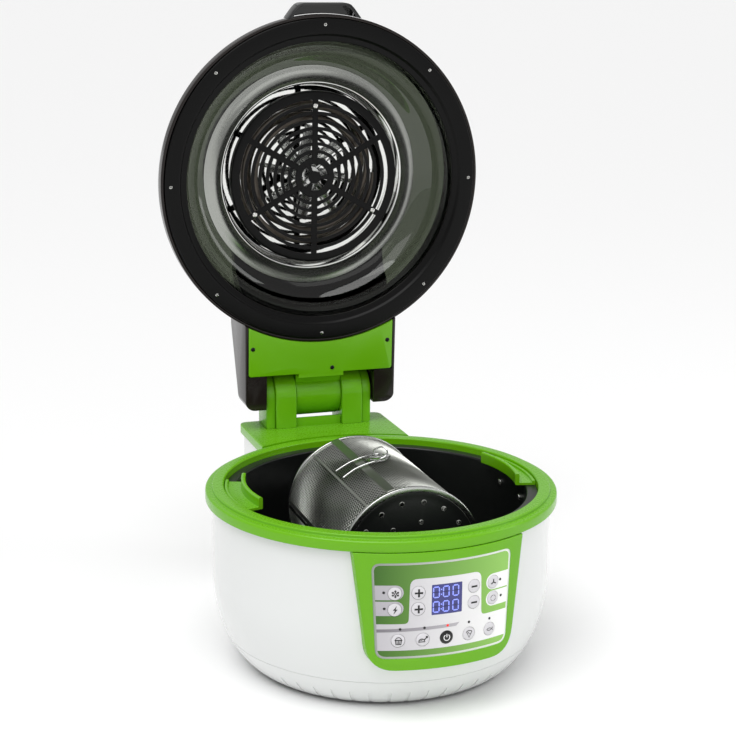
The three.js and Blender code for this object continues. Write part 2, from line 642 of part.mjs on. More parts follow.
// The motor's spindle has a slot in its face. The coupler in the pot's rear wall has a blade that
// drops into that slot, and a square end inside for the drum's fork.
function addDrive(base) {
  const face = POT_R + RUN;
  const bottom = POT_R + BLADE_LENGTH + RUN;
  piece(base, 'drive_motor', barY(DRIVE_R, SPINDLE_BACK + 2, DRIVE_BACK, 0, DRUM_Z), 'steel');
  const slot = block(
    [-BLADE_HALF - GAP, BLADE_HALF + GAP], [face - 1, bottom], [DRUM_Z - SPINDLE_R, DRUM_Z + SPINDLE_R]);
  const head = cut(barY(SPINDLE_R, face, SPINDLE_BACK, 0, DRUM_Z), slot);
  piece(base, 'drive_spindle', head, 'steel');

  const half = SQUARE / 2;
  const tip = DRUM_BACK + 3;
  const flange = POT_R - POT_WALL - 2 * RUN;
  const shaft = join(
    block([-half, half], [tip, tip + HUB_LENGTH], [DRUM_Z - half, DRUM_Z + half]),
    barY(COUPLER_R, tip + HUB_LENGTH - 1, POT_R, 0, DRUM_Z),
    barY(COUPLER_FLANGE_R, flange - COUPLER_FLANGE_T, flange, 0, DRUM_Z),
    block([-BLADE_HALF, BLADE_HALF], [POT_R - 1, POT_R + BLADE_LENGTH], [DRUM_Z - BLADE_R, DRUM_Z + BLADE_R]));
  piece(base, 'drive_coupler', shaft, 'steel');
}

// ---- drum ---------------------------------------------------------------------------------
const wallFront = DRUM_FRONT + DRUM_RIM_W + GAP;
const wallBack = DRUM_BACK - DRUM_RIM_W - GAP;

// A strip of the drum's wall; angles are counted from the top towards -X.
function drumStrip(inner, outer, from, to, sides) {
  const shape = arcShape(inner, outer, 90 + from, 90 + to);
  return upright(shape, wallFront, wallBack, sides).translate(0, 0, DRUM_Z);
}

const gapAngle = THREE.MathUtils.radToDeg(GAP / DRUM_R);

function addDrum(drum) {
  const inner = DRUM_R - DRUM_WALL;
  const wall = drumStrip(inner, DRUM_R, DOOR_END + gapAngle, DOOR_START + 360 - gapAngle, DRUM_SIDES);
  piece(drum, 'drum_wall', wall, 'steel');
  const ring = (y0, y1) => {
    const hoop = turned([
      [DRUM_RIM_R - DRUM_RIM_T, -y1], [DRUM_RIM_R, -y1],
      [DRUM_RIM_R, -y0], [DRUM_RIM_R - DRUM_RIM_T, -y0]], 36);
    return hoop.rotateX(Math.PI / 2).translate(0, 0, DRUM_Z);
  };
  piece(drum, 'drum_rim_front', ring(DRUM_FRONT, DRUM_FRONT + DRUM_RIM_W), 'steel');
  piece(drum, 'drum_rim_rear', ring(DRUM_BACK - DRUM_RIM_W, DRUM_BACK), 'steel');
  addDrumEnds(drum);
}

// A dished end disc facing -Y or +Y (side), its middle standing out by the bulge.
function endDisc(face, side, bulge) {
  const edge = DRUM_RIM_R - DRUM_RIM_T - GAP;
  const back = face - side * END_T;
  const profile = [
    [0, face + side * bulge], [edge * 0.5, face + side * bulge * 0.8], [edge - END_FLAT, face], [edge, face],
    [edge, back], [edge - END_FLAT, back], [edge * 0.5, back + side * bulge * 0.8], [0, back + side * bulge],
  ];
  return turned(profile.map(([r, y]) => [r, -y]), 28).rotateX(Math.PI / 2).translate(0, 0, DRUM_Z);
}

function addDrumEnds(drum) {
  const holes = [];
  for (let i = 0; i < END_HOLES; i++) {
    const angle = rad(END_HOLE_START + (360 * i) / END_HOLES);
    const [x, z] = [END_HOLE_PCD_R * Math.cos(angle), END_HOLE_PCD_R * Math.sin(angle)];
    holes.push(barY(END_HOLE_R, -FAR, FAR, x, DRUM_Z + z, 6));
  }
  const stub = barY(AXLE_R, BUSH_FRONT - 2, DRUM_FRONT - END_BULGE + 1, 0, DRUM_Z);
  const front = join(cut(endDisc(DRUM_FRONT, -1, END_BULGE), ...holes), stub);
  piece(drum, 'drum_end_front', front, 'coated');

  const half = HUB / 2;
  const slot = SQUARE / 2 + GAP + 0.1;
  const fork = cut(
    block([-half, half], [DRUM_BACK - 2, DRUM_BACK + HUB_LENGTH], [DRUM_Z - half, DRUM_Z + half]),
    block([-slot, slot], [DRUM_BACK + 2.5, DRUM_BACK + 40], [DRUM_Z - half - 1, DRUM_Z + slot]),
  );
  const rear = join(cut(endDisc(DRUM_BACK - 0.5, 1, 0), ...holes), fork);
  piece(drum, 'drum_end_rear', rear, 'coated');
}

function addDoor(drum) {
  const inner = DRUM_R - DRUM_WALL;
  const leaf = drumStrip(inner, DRUM_R, DOOR_START, DOOR_END, 8);
  const over = drumStrip(
    DRUM_R + GAP, DRUM_R + GAP + STRIP_T, DOOR_START - STRIP_HALF, DOOR_START + STRIP_HALF, 2);
  const foot = drumStrip(inner, DRUM_R + GAP + STRIP_T, DOOR_START + gapAngle, DOOR_START + STRIP_HALF, 2);
  piece(drum, 'drum_door', join(leaf, foot, over), 'steel');

  const path = new THREE.CurvePath();
  const spot = (angle, y) => new THREE.Vector3(
    -LATCH_R * Math.sin(rad(angle)), y, DRUM_Z + LATCH_R * Math.cos(rad(angle)));
  const route = [
    spot(LATCH_TURN, -LATCH_HALF - 1), spot(LATCH_TURN - 12, -LATCH_HALF), spot(LATCH_TURN - 24, -LATCH_HALF),
    spot(0, -LATCH_HALF), spot(-3, 0), spot(0, LATCH_HALF),
    spot(LATCH_TURN - 24, LATCH_HALF), spot(LATCH_TURN - 12, LATCH_HALF), spot(LATCH_TURN, LATCH_HALF + 1),
  ];
  path.add(new THREE.CatmullRomCurve3(route));
  const wire = new THREE.ExtrudeGeometry(wireShape(LATCH_WIRE, 6), {
    steps: 24, extrudePath: path, bevelEnabled: false,
  });
  piece(drum, 'door_latch', wire, 'steel');
}

function addBush(bush) {
  const profile = [
    [AXLE_R + GAP, -BUSH_BACK], [BUSH_R, -BUSH_BACK], [BUSH_R, -BUSH_FRONT], [AXLE_R + GAP, -BUSH_FRONT]];
  piece(bush, 'drum_bush', turned(profile, SMALL).rotateX(Math.PI / 2).translate(0, 0, DRUM_Z), 'rubber');
}

// ---- lid, drawn closed --------------------------------------------------------------------
const lidZ = RIM_Z + LID_PLANE;
const lipZ = lidZ + LID_LIP_RISE;

// Quarter ellipse of the glass bowl, from its rim up to its flat, grown outwards by a margin.
function bowlPoints(margin) {
  const points = [];
  for (let i = 0; i <= GLASS_STEPS; i++) {
    const turn = (Math.PI / 2) * (i / GLASS_STEPS);
    points.push([
      GLASS_IN_R + (LID_LIP_R - GLASS_IN_R + margin) * Math.cos(turn),
      lipZ + GAP + (GLASS_RISE + margin) * Math.sin(turn)]);
  }
  return points;
}

const glassTop = lipZ + GAP + GLASS_RISE + GLASS_T;

function addWindow(lid) {
  const low = lipZ + GAP;
  const edge = LID_RING_R - LID_RING_W - 1;
  const inside = bowlPoints(0);
  const outside = bowlPoints(GLASS_T).filter(([, z]) => z > low + GLASS_T).reverse();
  const profile = [
    ...inside, [GLASS_HOLE_R, glassTop - GLASS_T], [GLASS_HOLE_R, glassTop], ...outside,
    [LID_LIP_R + GLASS_T, low + GLASS_T], [edge, low + GLASS_T], [edge, low]];
  piece(lid, 'lid_glass', turned(profile), 'smoked');
  const ring = [
    [LID_RING_R, lidZ], [LID_RING_R, lidZ + LID_RING_T], [LID_RING_R - LID_RING_W, lidZ + LID_RING_T],
    [LID_RING_R - LID_RING_W, lipZ], [LID_LIP_R, lipZ], [LID_LIP_R, lipZ - 1.8],
    [RIM_OPEN_R - 2, lipZ - 2.8], [RIM_OPEN_R, lidZ]];
  piece(lid, 'lid_ring', turned(ring), 'black');
}

// The shell's shoulder, from its upright edge inwards, grown by a margin.
const shoulder = (bend, margin) =>
  LID_SLOPE.map(([inwards, up]) => [LID_R - inwards + margin, bend + up + margin]);

// Outline of the lid's round top, grown by a margin, used to trim what meets it.
function lidEnvelope(margin) {
  const bend = lidZ + LID_LIFT + LID_SKIRT;
  return turned([
    [0, lidZ - 10], [LID_R + margin, lidZ - 10], [LID_R + margin, bend], ...shoulder(bend, margin),
    [LID_LIP_R + 2 + margin, bend + LID_CROWN + margin],
    ...bowlPoints(GLASS_T + margin).filter(([, z]) => z > bend + LID_CROWN + 1),
    [COVER_R + margin, glassTop + margin], [COVER_R + margin, FAR], [0, FAR]]);
}

function addShell(lid) {
  const foot = lidZ + LID_LIFT;
  const bend = foot + LID_SKIRT;
  const inner = LID_R - LID_WALL;
  const [[bendIn, bendUp], [topIn, topUp]] = LID_SLOPE;
  const profile = [
    [inner, foot], [LID_R, foot], [LID_R, bend], ...shoulder(bend, 0),
    [LID_LIP_R + 2, bend + LID_CROWN], [LID_LIP_R + 2, bend + LID_CROWN - LID_WALL],
    [LID_R - topIn - 1, bend + topUp - LID_WALL],
    [LID_R - bendIn - 2.4, bend + bendUp - 2], [inner, bend - 0.5]];
  piece(lid, 'lid_shell', turned(profile), 'brown');
  const top = glassTop + COVER_H;
  const low = glassTop + GAP;
  const cover = [
    [COVER_R, low], [COVER_R, top - 17], [COVER_R - 11, top - 5], [COVER_TOP_R, top - 1], [0, top],
    [0, top - COVER_WALL], [COVER_TOP_R, top - COVER_WALL - 1], [COVER_R - 12.5, top - 7.8],
    [COVER_R - COVER_WALL, top - 18], [COVER_R - COVER_WALL, low]];
  piece(lid, 'motor_cover', turned(cover), 'black');
}

// The pressed grille: a shallow pan whose face is slotted in rows between spokes.
function grilleShape() {
  const shape = new THREE.Shape().absarc(0, 0, GRILLE_R, 0, 2 * Math.PI);
  const pitch = (GRILLE_R - GRILLE_EDGE - GRILLE_HUB_R) / GRILLE_ROWS;
  for (let row = 0; row < GRILLE_ROWS; row++) {
    const inner = GRILLE_HUB_R + row * pitch + (pitch * (1 - SLOT_SHARE)) / 2;
    const outer = inner + pitch * SLOT_SHARE;
    const half = THREE.MathUtils.radToDeg(SPOKE_W / 2 / inner);
    for (let i = 0; i < GRILLE_SPOKES; i++) {
      const from = 30 + (360 / GRILLE_SPOKES) * i;
      shape.holes.push(slotPath(inner, outer, from + half, from + 360 / GRILLE_SPOKES - half, 3));
    }
  }
  for (let i = 0; i < HUB_SLOTS; i++) {
    const [from, to] = [(360 * i) / HUB_SLOTS, (360 * (i + 1)) / HUB_SLOTS];
    shape.holes.push(slotPath(HUB_SLOT_IN_R, HUB_SLOT_OUT_R, from + HUB_SLOT_START, to - HUB_SLOT_START, 3));
  }
  return shape;
}

function slotPath(inner, outer, from, to, steps) {
  const points = [];
  for (const [radius, a, b] of [[outer, from, to], [inner, to, from]]) {
    for (let i = 0; i <= steps; i++) {
      const angle = rad(a + ((b - a) * i) / steps);
      points.push(new THREE.Vector2(radius * Math.cos(angle), radius * Math.sin(angle)));
    }
  }
  return new THREE.Path(points);
}

function addHeater(lid) {
  const face = lidZ + GRILLE_Z;
  const plate = slab(grilleShape(), face, face + GRILLE_T, 36);
  const [inner, outer] = [GRILLE_R - 1 - GRILLE_T, GRILLE_R - 1];
  const wall = turned([
    [inner, face + GRILLE_T / 2], [outer, face + GRILLE_T / 2], [outer, face + GRILLE_RIM],
    [inner, face + GRILLE_RIM]], 36);
  piece(lid, 'grille', join(plate, wall), 'black');

  const mouth = lidZ + HEATER_Z;
  const roof = mouth + HEATER_H;
  const can = turned([
    [HEATER_R - HEATER_WALL, mouth], [HEATER_R, mouth], [HEATER_R, roof], [SHAFT_R + 3, roof],
    [SHAFT_R + 3, roof - HEATER_WALL], [HEATER_R - HEATER_WALL, roof - HEATER_WALL]]);
  piece(lid, 'reflector', can, 'steel');
  const coil = new THREE.TorusGeometry(COIL_R, COIL_WIRE, 8, 28).translate(0, 0, mouth + COIL_Z);
  piece(lid, 'heating_coil', coil, 'steel');
  piece(lid, 'fan_motor', disc(MOTOR_R, roof + GAP, roof + MOTOR_H, 24), 'steel');

  const blades = [];
  for (let i = 0; i < FAN_BLADES; i++) {
    const blade = block(
      [FAN_HUB_R - 4, FAN_R], [-FAN_BLADE_HALF, FAN_BLADE_HALF], [mouth + BLADE_Z[0], mouth + BLADE_Z[1]]);
    blades.push(blade.rotateZ((2 * Math.PI * i) / FAN_BLADES));
  }
  const hub = disc(FAN_HUB_R, mouth + FAN_HUB_Z[0], mouth + FAN_HUB_Z[1], SMALL);
  const shaft = disc(SHAFT_R, mouth + FAN_HUB_Z[0] + 1, roof - 0.2, SMALL);
  piece(lid, 'fan_impeller', join(hub, shaft, ...blades), 'steel');
}

function addArm(lid) {
  const envelope = lidEnvelope(0.4);
  const [bottom, top] = [lidZ + 0.5, HINGE_Z + ARM_TOP];
  const back = HINGE_Y + ARM_BACK;
  const [half, wide] = [ARM_X - ARM_WALL, CAP_X + 1.2];
  const roof = top - ARM_WALL;
  const corner = cut(
    block([-FAR, FAR], [HINGE_Y, back + 10], [bottom - 10, HINGE_Z]),
    barX(HINGE_Z - bottom - 0.2, -FAR, FAR, HINGE_Y, HINGE_Z, 48));
  const cover = cut(
    block([-ARM_X, ARM_X], [ARM_FRONT + 10, back], [bottom, top]),
    block([-half, half], [ARM_FRONT, ARM_PLATE_Y + GAP], [bottom - 5, bottom + 5]),
    block([-half, -wide - ARM_SIDE], [ARM_FRONT, back - ARM_WALL], [bottom + ARM_WALL, roof]),
    block([wide + ARM_SIDE, half], [ARM_FRONT, back - ARM_WALL], [bottom + ARM_WALL, roof]),
    block([-wide, wide], [ARM_FRONT, back + 5], [bottom - 5, roof]),
    corner, envelope);
  piece(lid, 'arm_cover', cover, 'brown');

  const plateZ = lidZ + ARM_PLATE_Z;
  const root = ARM_PLATE_Y - 8; // the flange grows out of the plate here and rises to the barrel
  const flange = polygon([
    [root, plateZ], [ARM_PLATE_Y + 3.9, plateZ], [ARM_PLATE_Y + 3.9, plateZ + 10],
    [HINGE_Y - 13.5, plateZ + 12.5], [HINGE_Y, HINGE_Z], [HINGE_Y - 22.5, HINGE_Z],
    [root, plateZ + ARM_PLATE_T]]);
  const arm = cut(
    join(
      block([GAP - half, half - GAP], [ARM_PLATE_BACK, ARM_PLATE_Y], [plateZ, plateZ + ARM_PLATE_T]),
      sideways(flange, -BARREL_X, BARREL_X),
      barX(BARREL_R, -BARREL_X, BARREL_X, HINGE_Y, HINGE_Z, 32)),
    barX(SPRING_R + SPRING_WIRE + RUN, -BARREL_X - 1, BARREL_X + 1, HINGE_Y, HINGE_Z, 24),
    envelope);
  piece(lid, 'hinge_arm', arm, 'green');
}

function addLidHandle(lid) {
  const outline = (inset) => polygon([
    [-HANDLE_ROOT_X + inset, -HANDLE_ROOT], [-HANDLE_ROOT_X + inset, -HANDLE_BEND],
    [-HANDLE_TOP_X - 3 + inset, -HANDLE_Y + 4 + inset], [-HANDLE_TOP_X + 2 + inset, -HANDLE_Y + inset],
    [HANDLE_TOP_X - 2 - inset, -HANDLE_Y + inset], [HANDLE_TOP_X + 3 - inset, -HANDLE_Y + 4 + inset],
    [HANDLE_ROOT_X - inset, -HANDLE_BEND], [HANDLE_ROOT_X - inset, -HANDLE_ROOT]]);
  const low = lidZ + HANDLE_Z;
  const handle = cut(
    slab(outline(0), low, low + HANDLE_H),
    slab(outline(HANDLE_WALL), low - 1, low + HANDLE_H - HANDLE_WALL),
    disc(LID_R + 0.4, 0, FAR));
  piece(lid, 'lid_handle', handle, 'black');
}

// ---- assembly -----------------------------------------------------------------------------
function build() {
  const fryer = new THREE.Group();
  const base = new THREE.Group();
  fryer.add(base);
  addBody(base);
  addFeet(base);
  addRim(base);
  addTowers(base);
  addSpring(base);
  addPanel(base);
  addButtons(base);
  addLiner(base);
  addDrive(base);
  addPot(base);
  addBush(base);
  addDrum(base);
  addDoor(base);

  const hinge = new THREE.Group();
  hinge.position.set(0, HINGE_Y, HINGE_Z);
  hinge.rotation.x = -rad(LID_OPEN);
  fryer.add(hinge);
  const lid = new THREE.Group();
  lid.position.set(0, -HINGE_Y, -HINGE_Z);
  hinge.add(lid);
  addWindow(lid);
  addShell(lid);
  addHeater(lid);
  addArm(lid);
  addLidHandle(lid);

  // The middle of the whole box stands over the origin, front to back.
  const box = new THREE.Box3().setFromObject(fryer, true);
  fryer.position.y = -(box.min.y + box.max.y) / 2;
  fryer.updateMatrixWorld(true);
  return fryer;
}

export default build();
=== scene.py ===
# %% [markdown]
# # A hot-air fryer with its lid open
# This lesson dresses a measured model of a round table-top fryer. The measured solids come in as a
# fixed frame: they say where everything is and what moves. Each step below then makes one part of the
# real thing, such as the white housing or the glass lid, and lets it ride on the right moving body.

# %% Load the frame
import json
import math

import bmesh
import bpy
from mathutils import Matrix, Vector


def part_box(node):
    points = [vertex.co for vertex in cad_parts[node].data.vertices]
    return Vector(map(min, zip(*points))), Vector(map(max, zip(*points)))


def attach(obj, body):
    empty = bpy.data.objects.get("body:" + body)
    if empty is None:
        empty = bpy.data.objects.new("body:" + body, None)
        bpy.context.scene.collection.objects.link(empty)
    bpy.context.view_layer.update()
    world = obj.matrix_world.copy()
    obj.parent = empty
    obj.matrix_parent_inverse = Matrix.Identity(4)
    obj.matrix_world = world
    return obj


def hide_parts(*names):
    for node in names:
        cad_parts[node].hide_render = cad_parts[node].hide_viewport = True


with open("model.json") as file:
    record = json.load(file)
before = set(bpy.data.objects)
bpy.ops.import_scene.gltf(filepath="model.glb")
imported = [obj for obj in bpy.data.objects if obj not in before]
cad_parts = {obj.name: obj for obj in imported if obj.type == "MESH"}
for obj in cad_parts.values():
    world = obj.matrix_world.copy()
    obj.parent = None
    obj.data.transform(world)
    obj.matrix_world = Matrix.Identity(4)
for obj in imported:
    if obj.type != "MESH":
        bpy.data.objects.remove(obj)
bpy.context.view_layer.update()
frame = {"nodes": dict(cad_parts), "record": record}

# %% [markdown]
# ## Where the object is
# All shapes are drawn in millimetres about the pot's upright axis, because nearly everything here is
# round. One matrix carries a drawn shape into the frame, which is in metres. The lid is drawn closed,
# lying flat on the rim, and a second matrix swings it up about the hinge to where it rests.

# %% The drawing frame
MM = 0.001


def centre(node):
    """The middle of a node's box, in metres."""
    low, high = (Vector(corner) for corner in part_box(node))
    return (low + high) / 2


pot_y = centre("inner_pot").y
RIM_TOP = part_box("tower_cap_left")[0][2] / MM - 0.3
joints = {joint["name"]: joint for joint in frame["record"]["behaviour"]["joints"]}
hinge = joints["lid_hinge"]["pos_m"]
HINGE_Y = (hinge[1] - pot_y) / MM
HINGE_Z = hinge[2] / MM
LID_OPEN = joints["lid_hinge"]["range_deg"][1]
LID_PLANE = RIM_TOP + 0.4

place = Matrix.Translation((0, pot_y, 0)) @ Matrix.Scale(MM, 4)
about_hinge = Matrix.Translation((0, HINGE_Y, HINGE_Z))
swing = about_hinge @ Matrix.Rotation(math.radians(-LID_OPEN), 4, "X") @ about_hinge.inverted()
DRUM_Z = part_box("drum_wall")[0][2] / MM + 66
print("rim top", round(RIM_TOP, 1), "hinge", round(HINGE_Y, 1), round(HINGE_Z, 1))

# %% [markdown]
# ## Camera, floor and light
# The camera stands a metre and a half away, a little to the left and above, with a long lens, as in a
# catalogue picture. A pale floor that meets a pale world gives an even backdrop. One large soft lamp
# from the upper left makes the broad highlights, a strip on the right draws a bright edge down the
# glossy plastic, a faint lamp from the front fills the pot, and a wide sun lights floor and object
# evenly from above.

# %% Camera
AZIMUTH, ROLL = math.radians(-18.38), math.radians(0.49)
forward = Vector((0.30646, 0.92244, -0.23491)).normalized()
level = Vector((math.cos(AZIMUTH), math.sin(AZIMUTH), 0))
upright = level.cross(forward)
right = level * math.cos(ROLL) + upright * math.sin(ROLL)
up = upright * math.cos(ROLL) - level * math.sin(ROLL)
turn = Matrix((right, up, -forward)).transposed().to_4x4()
eye = place @ Vector((-498.6, -1459.03, 652.51))

camera_data = bpy.data.cameras.new("camera")
camera_data.lens = 83.71
camera_data.sensor_width = 36
camera = bpy.data.objects.new("camera", camera_data)
camera.matrix_world = Matrix.Translation(eye) @ turn
bpy.context.collection.objects.link(camera)
bpy.context.scene.camera = camera
bpy.context.scene.view_settings.view_transform = "Standard"
print("camera at", [round(c, 3) for c in eye])

# %% Floor, world and lamps
FLOOR = 60
floor_mesh = bpy.data.meshes.new("floor")
floor_mesh.from_pydata([(x * FLOOR, y * FLOOR, 0) for x, y in ((-1, -1), (1, -1), (1, 1), (-1, 1))],
                       [], [(0, 1, 2, 3)])
floor = bpy.data.objects.new("floor", floor_mesh)
bpy.context.collection.objects.link(floor)
floor_paint = bpy.data.materials.new("floor_paint")
floor_paint.use_nodes = True
floor_shader = floor_paint.node_tree.nodes["Principled BSDF"]
floor_shader.inputs["Base Color"].default_value = (0.93, 0.93, 0.93, 1)
floor_shader.inputs["Roughness"].default_value = 0.7
floor_mesh.materials.append(floor_paint)

world = bpy.data.worlds.new("studio")
world.use_nodes = True
backdrop = world.node_tree.nodes["Background"]
backdrop.inputs["Color"].default_value = (1, 1, 1, 1)
backdrop.inputs["Strength"].default_value = 0.5
bpy.context.scene.world = world


def lamp(name, spot, aim, size, power):
    """A soft rectangular lamp at spot that shines at aim."""
    data = bpy.data.lights.new(name, "AREA")
    data.shape = "RECTANGLE"
    data.size, data.size_y = size
    data.energy = power
    lamp_object = bpy.data.objects.new(name, data)
    lamp_object.location = spot
    lamp_object.rotation_euler = (Vector(aim) - Vector(spot)).to_track_quat("-Z", "Y").to_euler()
    bpy.context.collection.objects.link(lamp_object)


lamp("key", (-1.2, -1.0, 1.9), (0, 0, 0.2), (1.2, 1.2), 7)
lamp("strip", (1.5, -0.7, 0.9), (0, 0, 0.3), (0.4, 1.4), 5)
lamp("front", (0.2, -2.2, 1.2), (0, 0, 0.2), (1.5, 0.8), 2.5)
sky = bpy.data.lights.new("sky", "SUN")
sky.energy, sky.angle = 1.75, math.radians(50)
sky_object = bpy.data.objects.new("sky", sky)
sky_object.rotation_euler = (math.radians(12), math.radians(-14), 0)
bpy.context.collection.objects.link(sky_object)
print("lamps:", len(bpy.data.lights))

# %% [markdown]
# ## Making shapes from lines
# A kitchen appliance is mostly three kinds of shape: turned ones (pot, rim, lid), plates cut from an
# outline (hinge towers, keys) and plates bent round a drum (the keypad). Each kind gets one helper that
# makes a closed mesh. `curve_through` rounds the corners of an outline first, because moulded plastic has
# no sharp edges, and a rounded corner is what catches the light.

# %% Outline helpers
def polar(radius, degrees, x=0.0, y=0.0):
    """The point at a radius and an angle round (x, y)."""
    angle = math.radians(degrees)
    return x + radius * math.cos(angle), y + radius * math.sin(angle)


def arc(radius, start, end, steps=12, x=0.0, y=0.0):
    """Points along an arc between two angles."""
    return [polar(radius, start + (end - start) * i / steps, x, y) for i in range(steps + 1)]


def curve_through(corners, steps=4):
    """Closed outline from (x, y, size) corners; each corner is rounded over its size."""
    points = []
    count = len(corners)
    for i, (x, y, size) in enumerate(corners):
        here = Vector((x, y))
        if size == 0:
            points.append(tuple(here))
            continue
        before = Vector(corners[i - 1][:2])
        after = Vector(corners[(i + 1) % count][:2])
        start = here + (before - here).normalized() * min(size, (before - here).length * 0.5)
        end = here + (after - here).normalized() * min(size, (after - here).length * 0.5)
        for step in range(steps + 1):
            t = step / steps
            points.append(tuple(start * (1 - t) ** 2 + here * 2 * t * (1 - t) + end * t * t))
    return points


def mirrored(corners, steps=4):
    """Closed outline that is the same left and right, from the corners of its right half."""
    return curve_through([(-x, y, size) for x, y, size in corners[:1]] + corners
                         + [(-x, y, size) for x, y, size in corners[:0:-1]], steps)


def round_plate(radius, sides=32, x=0.0, y=0.0):
    """Outline of a circle."""
    return [polar(radius, 360 * i / sides, x, y) for i in range(sides)]


print("a rounded square has", len(curve_through([(0, 0, 1), (4, 0, 1), (4, 4, 1), (0, 4, 1)])), "points")


# %% Turned shapes
def turned(outline, sides=160, start=0.0, end=360.0):
    """Turns a closed outline of (radius, height) about the Z axis."""
    mesh = bmesh.new()
    full = end - start >= 360
    rings = []
    for i in range(sides if full else sides + 1):
        angle = math.radians(start + (end - start) * i / sides)
        rings.append([mesh.verts.new((r * math.cos(angle), r * math.sin(angle), z)) for r, z in outline])
    for i in range(sides):
        one, two = rings[i], rings[(i + 1) % len(rings)]
        for j in range(len(outline)):
            k = (j + 1) % len(outline)
            mesh.faces.new((one[j], one[k], two[k], two[j]))
    if not full:
        mesh.faces.new(rings[0])
        mesh.faces.new(rings[-1])
    bmesh.ops.remove_doubles(mesh, verts=mesh.verts, dist=1e-4)
    bmesh.ops.recalc_face_normals(mesh, faces=mesh.faces)
    return mesh


def along_y(mesh, height=0.0):
    """Lays a turned shape down: its axis points to -Y, at a height."""
    mesh.transform(Matrix.Translation((0, 0, height)) @ Matrix.Rotation(math.pi / 2, 4, "X"))
    return mesh


print("a turned square has", len(turned([(1, 0), (2, 0), (2, 1), (1, 1)]).faces), "faces")


# %% Plates
SPOTS = {
    "x": lambda p, h: (h, p[0], p[1]),
    "y": lambda p, h: (p[0], h, p[1]),
    "z": lambda p, h: (p[0], p[1], h),
}


def plate(outline, axis, low, high, edge=0.0, steps=2):
    """A plate with that outline, from low to high along an axis, its two rims rounded by edge."""
    mesh = bmesh.new()
    spot = SPOTS[axis]
    bottom = [mesh.verts.new(spot(p, low)) for p in outline]
    top = [mesh.verts.new(spot(p, high)) for p in outline]
    caps = [mesh.faces.new(bottom), mesh.faces.new(top)]
    for i in range(len(outline)):
        k = (i + 1) % len(outline)
        mesh.faces.new((bottom[i], bottom[k], top[k], top[i]))
    bmesh.ops.recalc_face_normals(mesh, faces=mesh.faces)
    if edge:
        rims = list({e for cap in caps for e in cap.edges})
        bmesh.ops.bevel(mesh, geom=rims, offset=edge, segments=steps, profile=0.5, affect="EDGES",
                        clamp_overlap=True)
    return mesh


def join(*meshes):
    """Several meshes as one, without cutting them into each other."""
    first = meshes[0]
    for other in meshes[1:]:
        data = bpy.data.meshes.new("joined")
        other.to_mesh(data)
        first.from_mesh(data)
        bpy.data.meshes.remove(data)
    return first


print("a square plate has", len(plate([(0, 0), (1, 0), (1, 1), (0, 1)], "z", 0, 1).faces), "faces")


# %% Cutting and merging
def combine(first, second, operation):
    """first with second cut away, merged in or kept in common, by Blender's exact solver."""
    pair = []
    for shape in (first, second):
        data = bpy.data.meshes.new("cutting")
        shape.to_mesh(data)
        shape.free()
        thing = bpy.data.objects.new("cutting", data)
        bpy.context.collection.objects.link(thing)
        pair.append(thing)
    tool = pair[0].modifiers.new("cut", "BOOLEAN")
    tool.operation = operation
    tool.object = pair[1]
    tool.solver = "EXACT"
    bpy.context.view_layer.update()
    result = bmesh.new()
    result.from_object(pair[0], bpy.context.evaluated_depsgraph_get())
    for thing in pair:
        data = thing.data
        bpy.data.objects.remove(thing)
        bpy.data.meshes.remove(data)
    bmesh.ops.remove_doubles(result, verts=result.verts, dist=1e-3)
    return result


def cut(first, *others):
    """The first mesh without the others, which are used up."""
    for other in others:
        first = combine(first, other, "DIFFERENCE")
    return first


def merge(first, *others):
    """The meshes as one closed solid; all of them are used up."""
    for other in others:
        first = combine(first, other, "UNION")
    return first


def cube(size):
    """A small block, to try the cutting on."""
    return plate([(0, 0), (size, 0), (size, size), (0, size)], "z", 0, size)


print("a block less its corner has", len(cut(cube(2), cube(1)).faces), "faces")

# %% Finishing a piece
made = []


def finish(name, mesh, body, material, nodes=(), on_lid=False, sharp=35):
    """Puts a drawn mesh in the frame as a finished piece that rides on a body."""
    if on_lid:
        mesh.transform(swing)
    mesh.transform(place)
    data = bpy.data.meshes.new(name)
    mesh.to_mesh(data)
    mesh.free()
    data.materials.append(material)
    data.polygons.foreach_set("use_smooth", [True] * len(data.polygons))
    data.set_sharp_from_angle(angle=math.radians(sharp))
    piece = bpy.data.objects.new(name, data)
    bpy.context.collection.objects.link(piece)
    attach(piece, body)
    if nodes:
        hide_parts(*nodes)
    made.append(name)
    print(name, len(data.polygons), "faces on", body)
    return piece


# %% [markdown]
# ## Finishes
# Every finish here is a Principled shader fed by two shared effects. `moulded` gives a surface the
# faint unevenness of a moulded or pressed part: a slow shift in tone, a finer shift in gloss and a
# height for a bump. `handled` adds what a kitchen does: paler edges where paint or polish wears, and
# a film of dust on faces that look up. Both are node groups, so each finish only states its amounts.

# %% Shared effect: moulded surface
def group(name, inputs, outputs):
    """An empty shader node group with named number or colour sockets."""
    tree = bpy.data.node_groups.new(name, "ShaderNodeTree")
    for label, kind in inputs:
        tree.interface.new_socket(label, in_out="INPUT", socket_type="NodeSocket" + kind)
    for label, kind in outputs:
        tree.interface.new_socket(label, in_out="OUTPUT", socket_type="NodeSocket" + kind)
    return tree, tree.nodes.new("NodeGroupInput"), tree.nodes.new("NodeGroupOutput")


def feed(tree, node, **values):
    """Links or sets sockets: Base_Color is the one named Base Color, and at1 is the second one."""
    for key, value in values.items():
        socket = node.inputs[int(key[2:]) if key.startswith("at") else key.replace("_", " ")]
        if isinstance(value, bpy.types.NodeSocket):
            tree.links.new(value, socket)
        else:
            socket.default_value = value
    return node


def node_of(tree, kind, **settings):
    """A new node with its settings, such as its operation."""
    node = tree.nodes.new(kind)
    for key, value in settings.items():
        setattr(node, key, value)
    return node


def add(tree, kind, **values):
    """A new node with its sockets linked or set."""
    return feed(tree, node_of(tree, kind), **values)


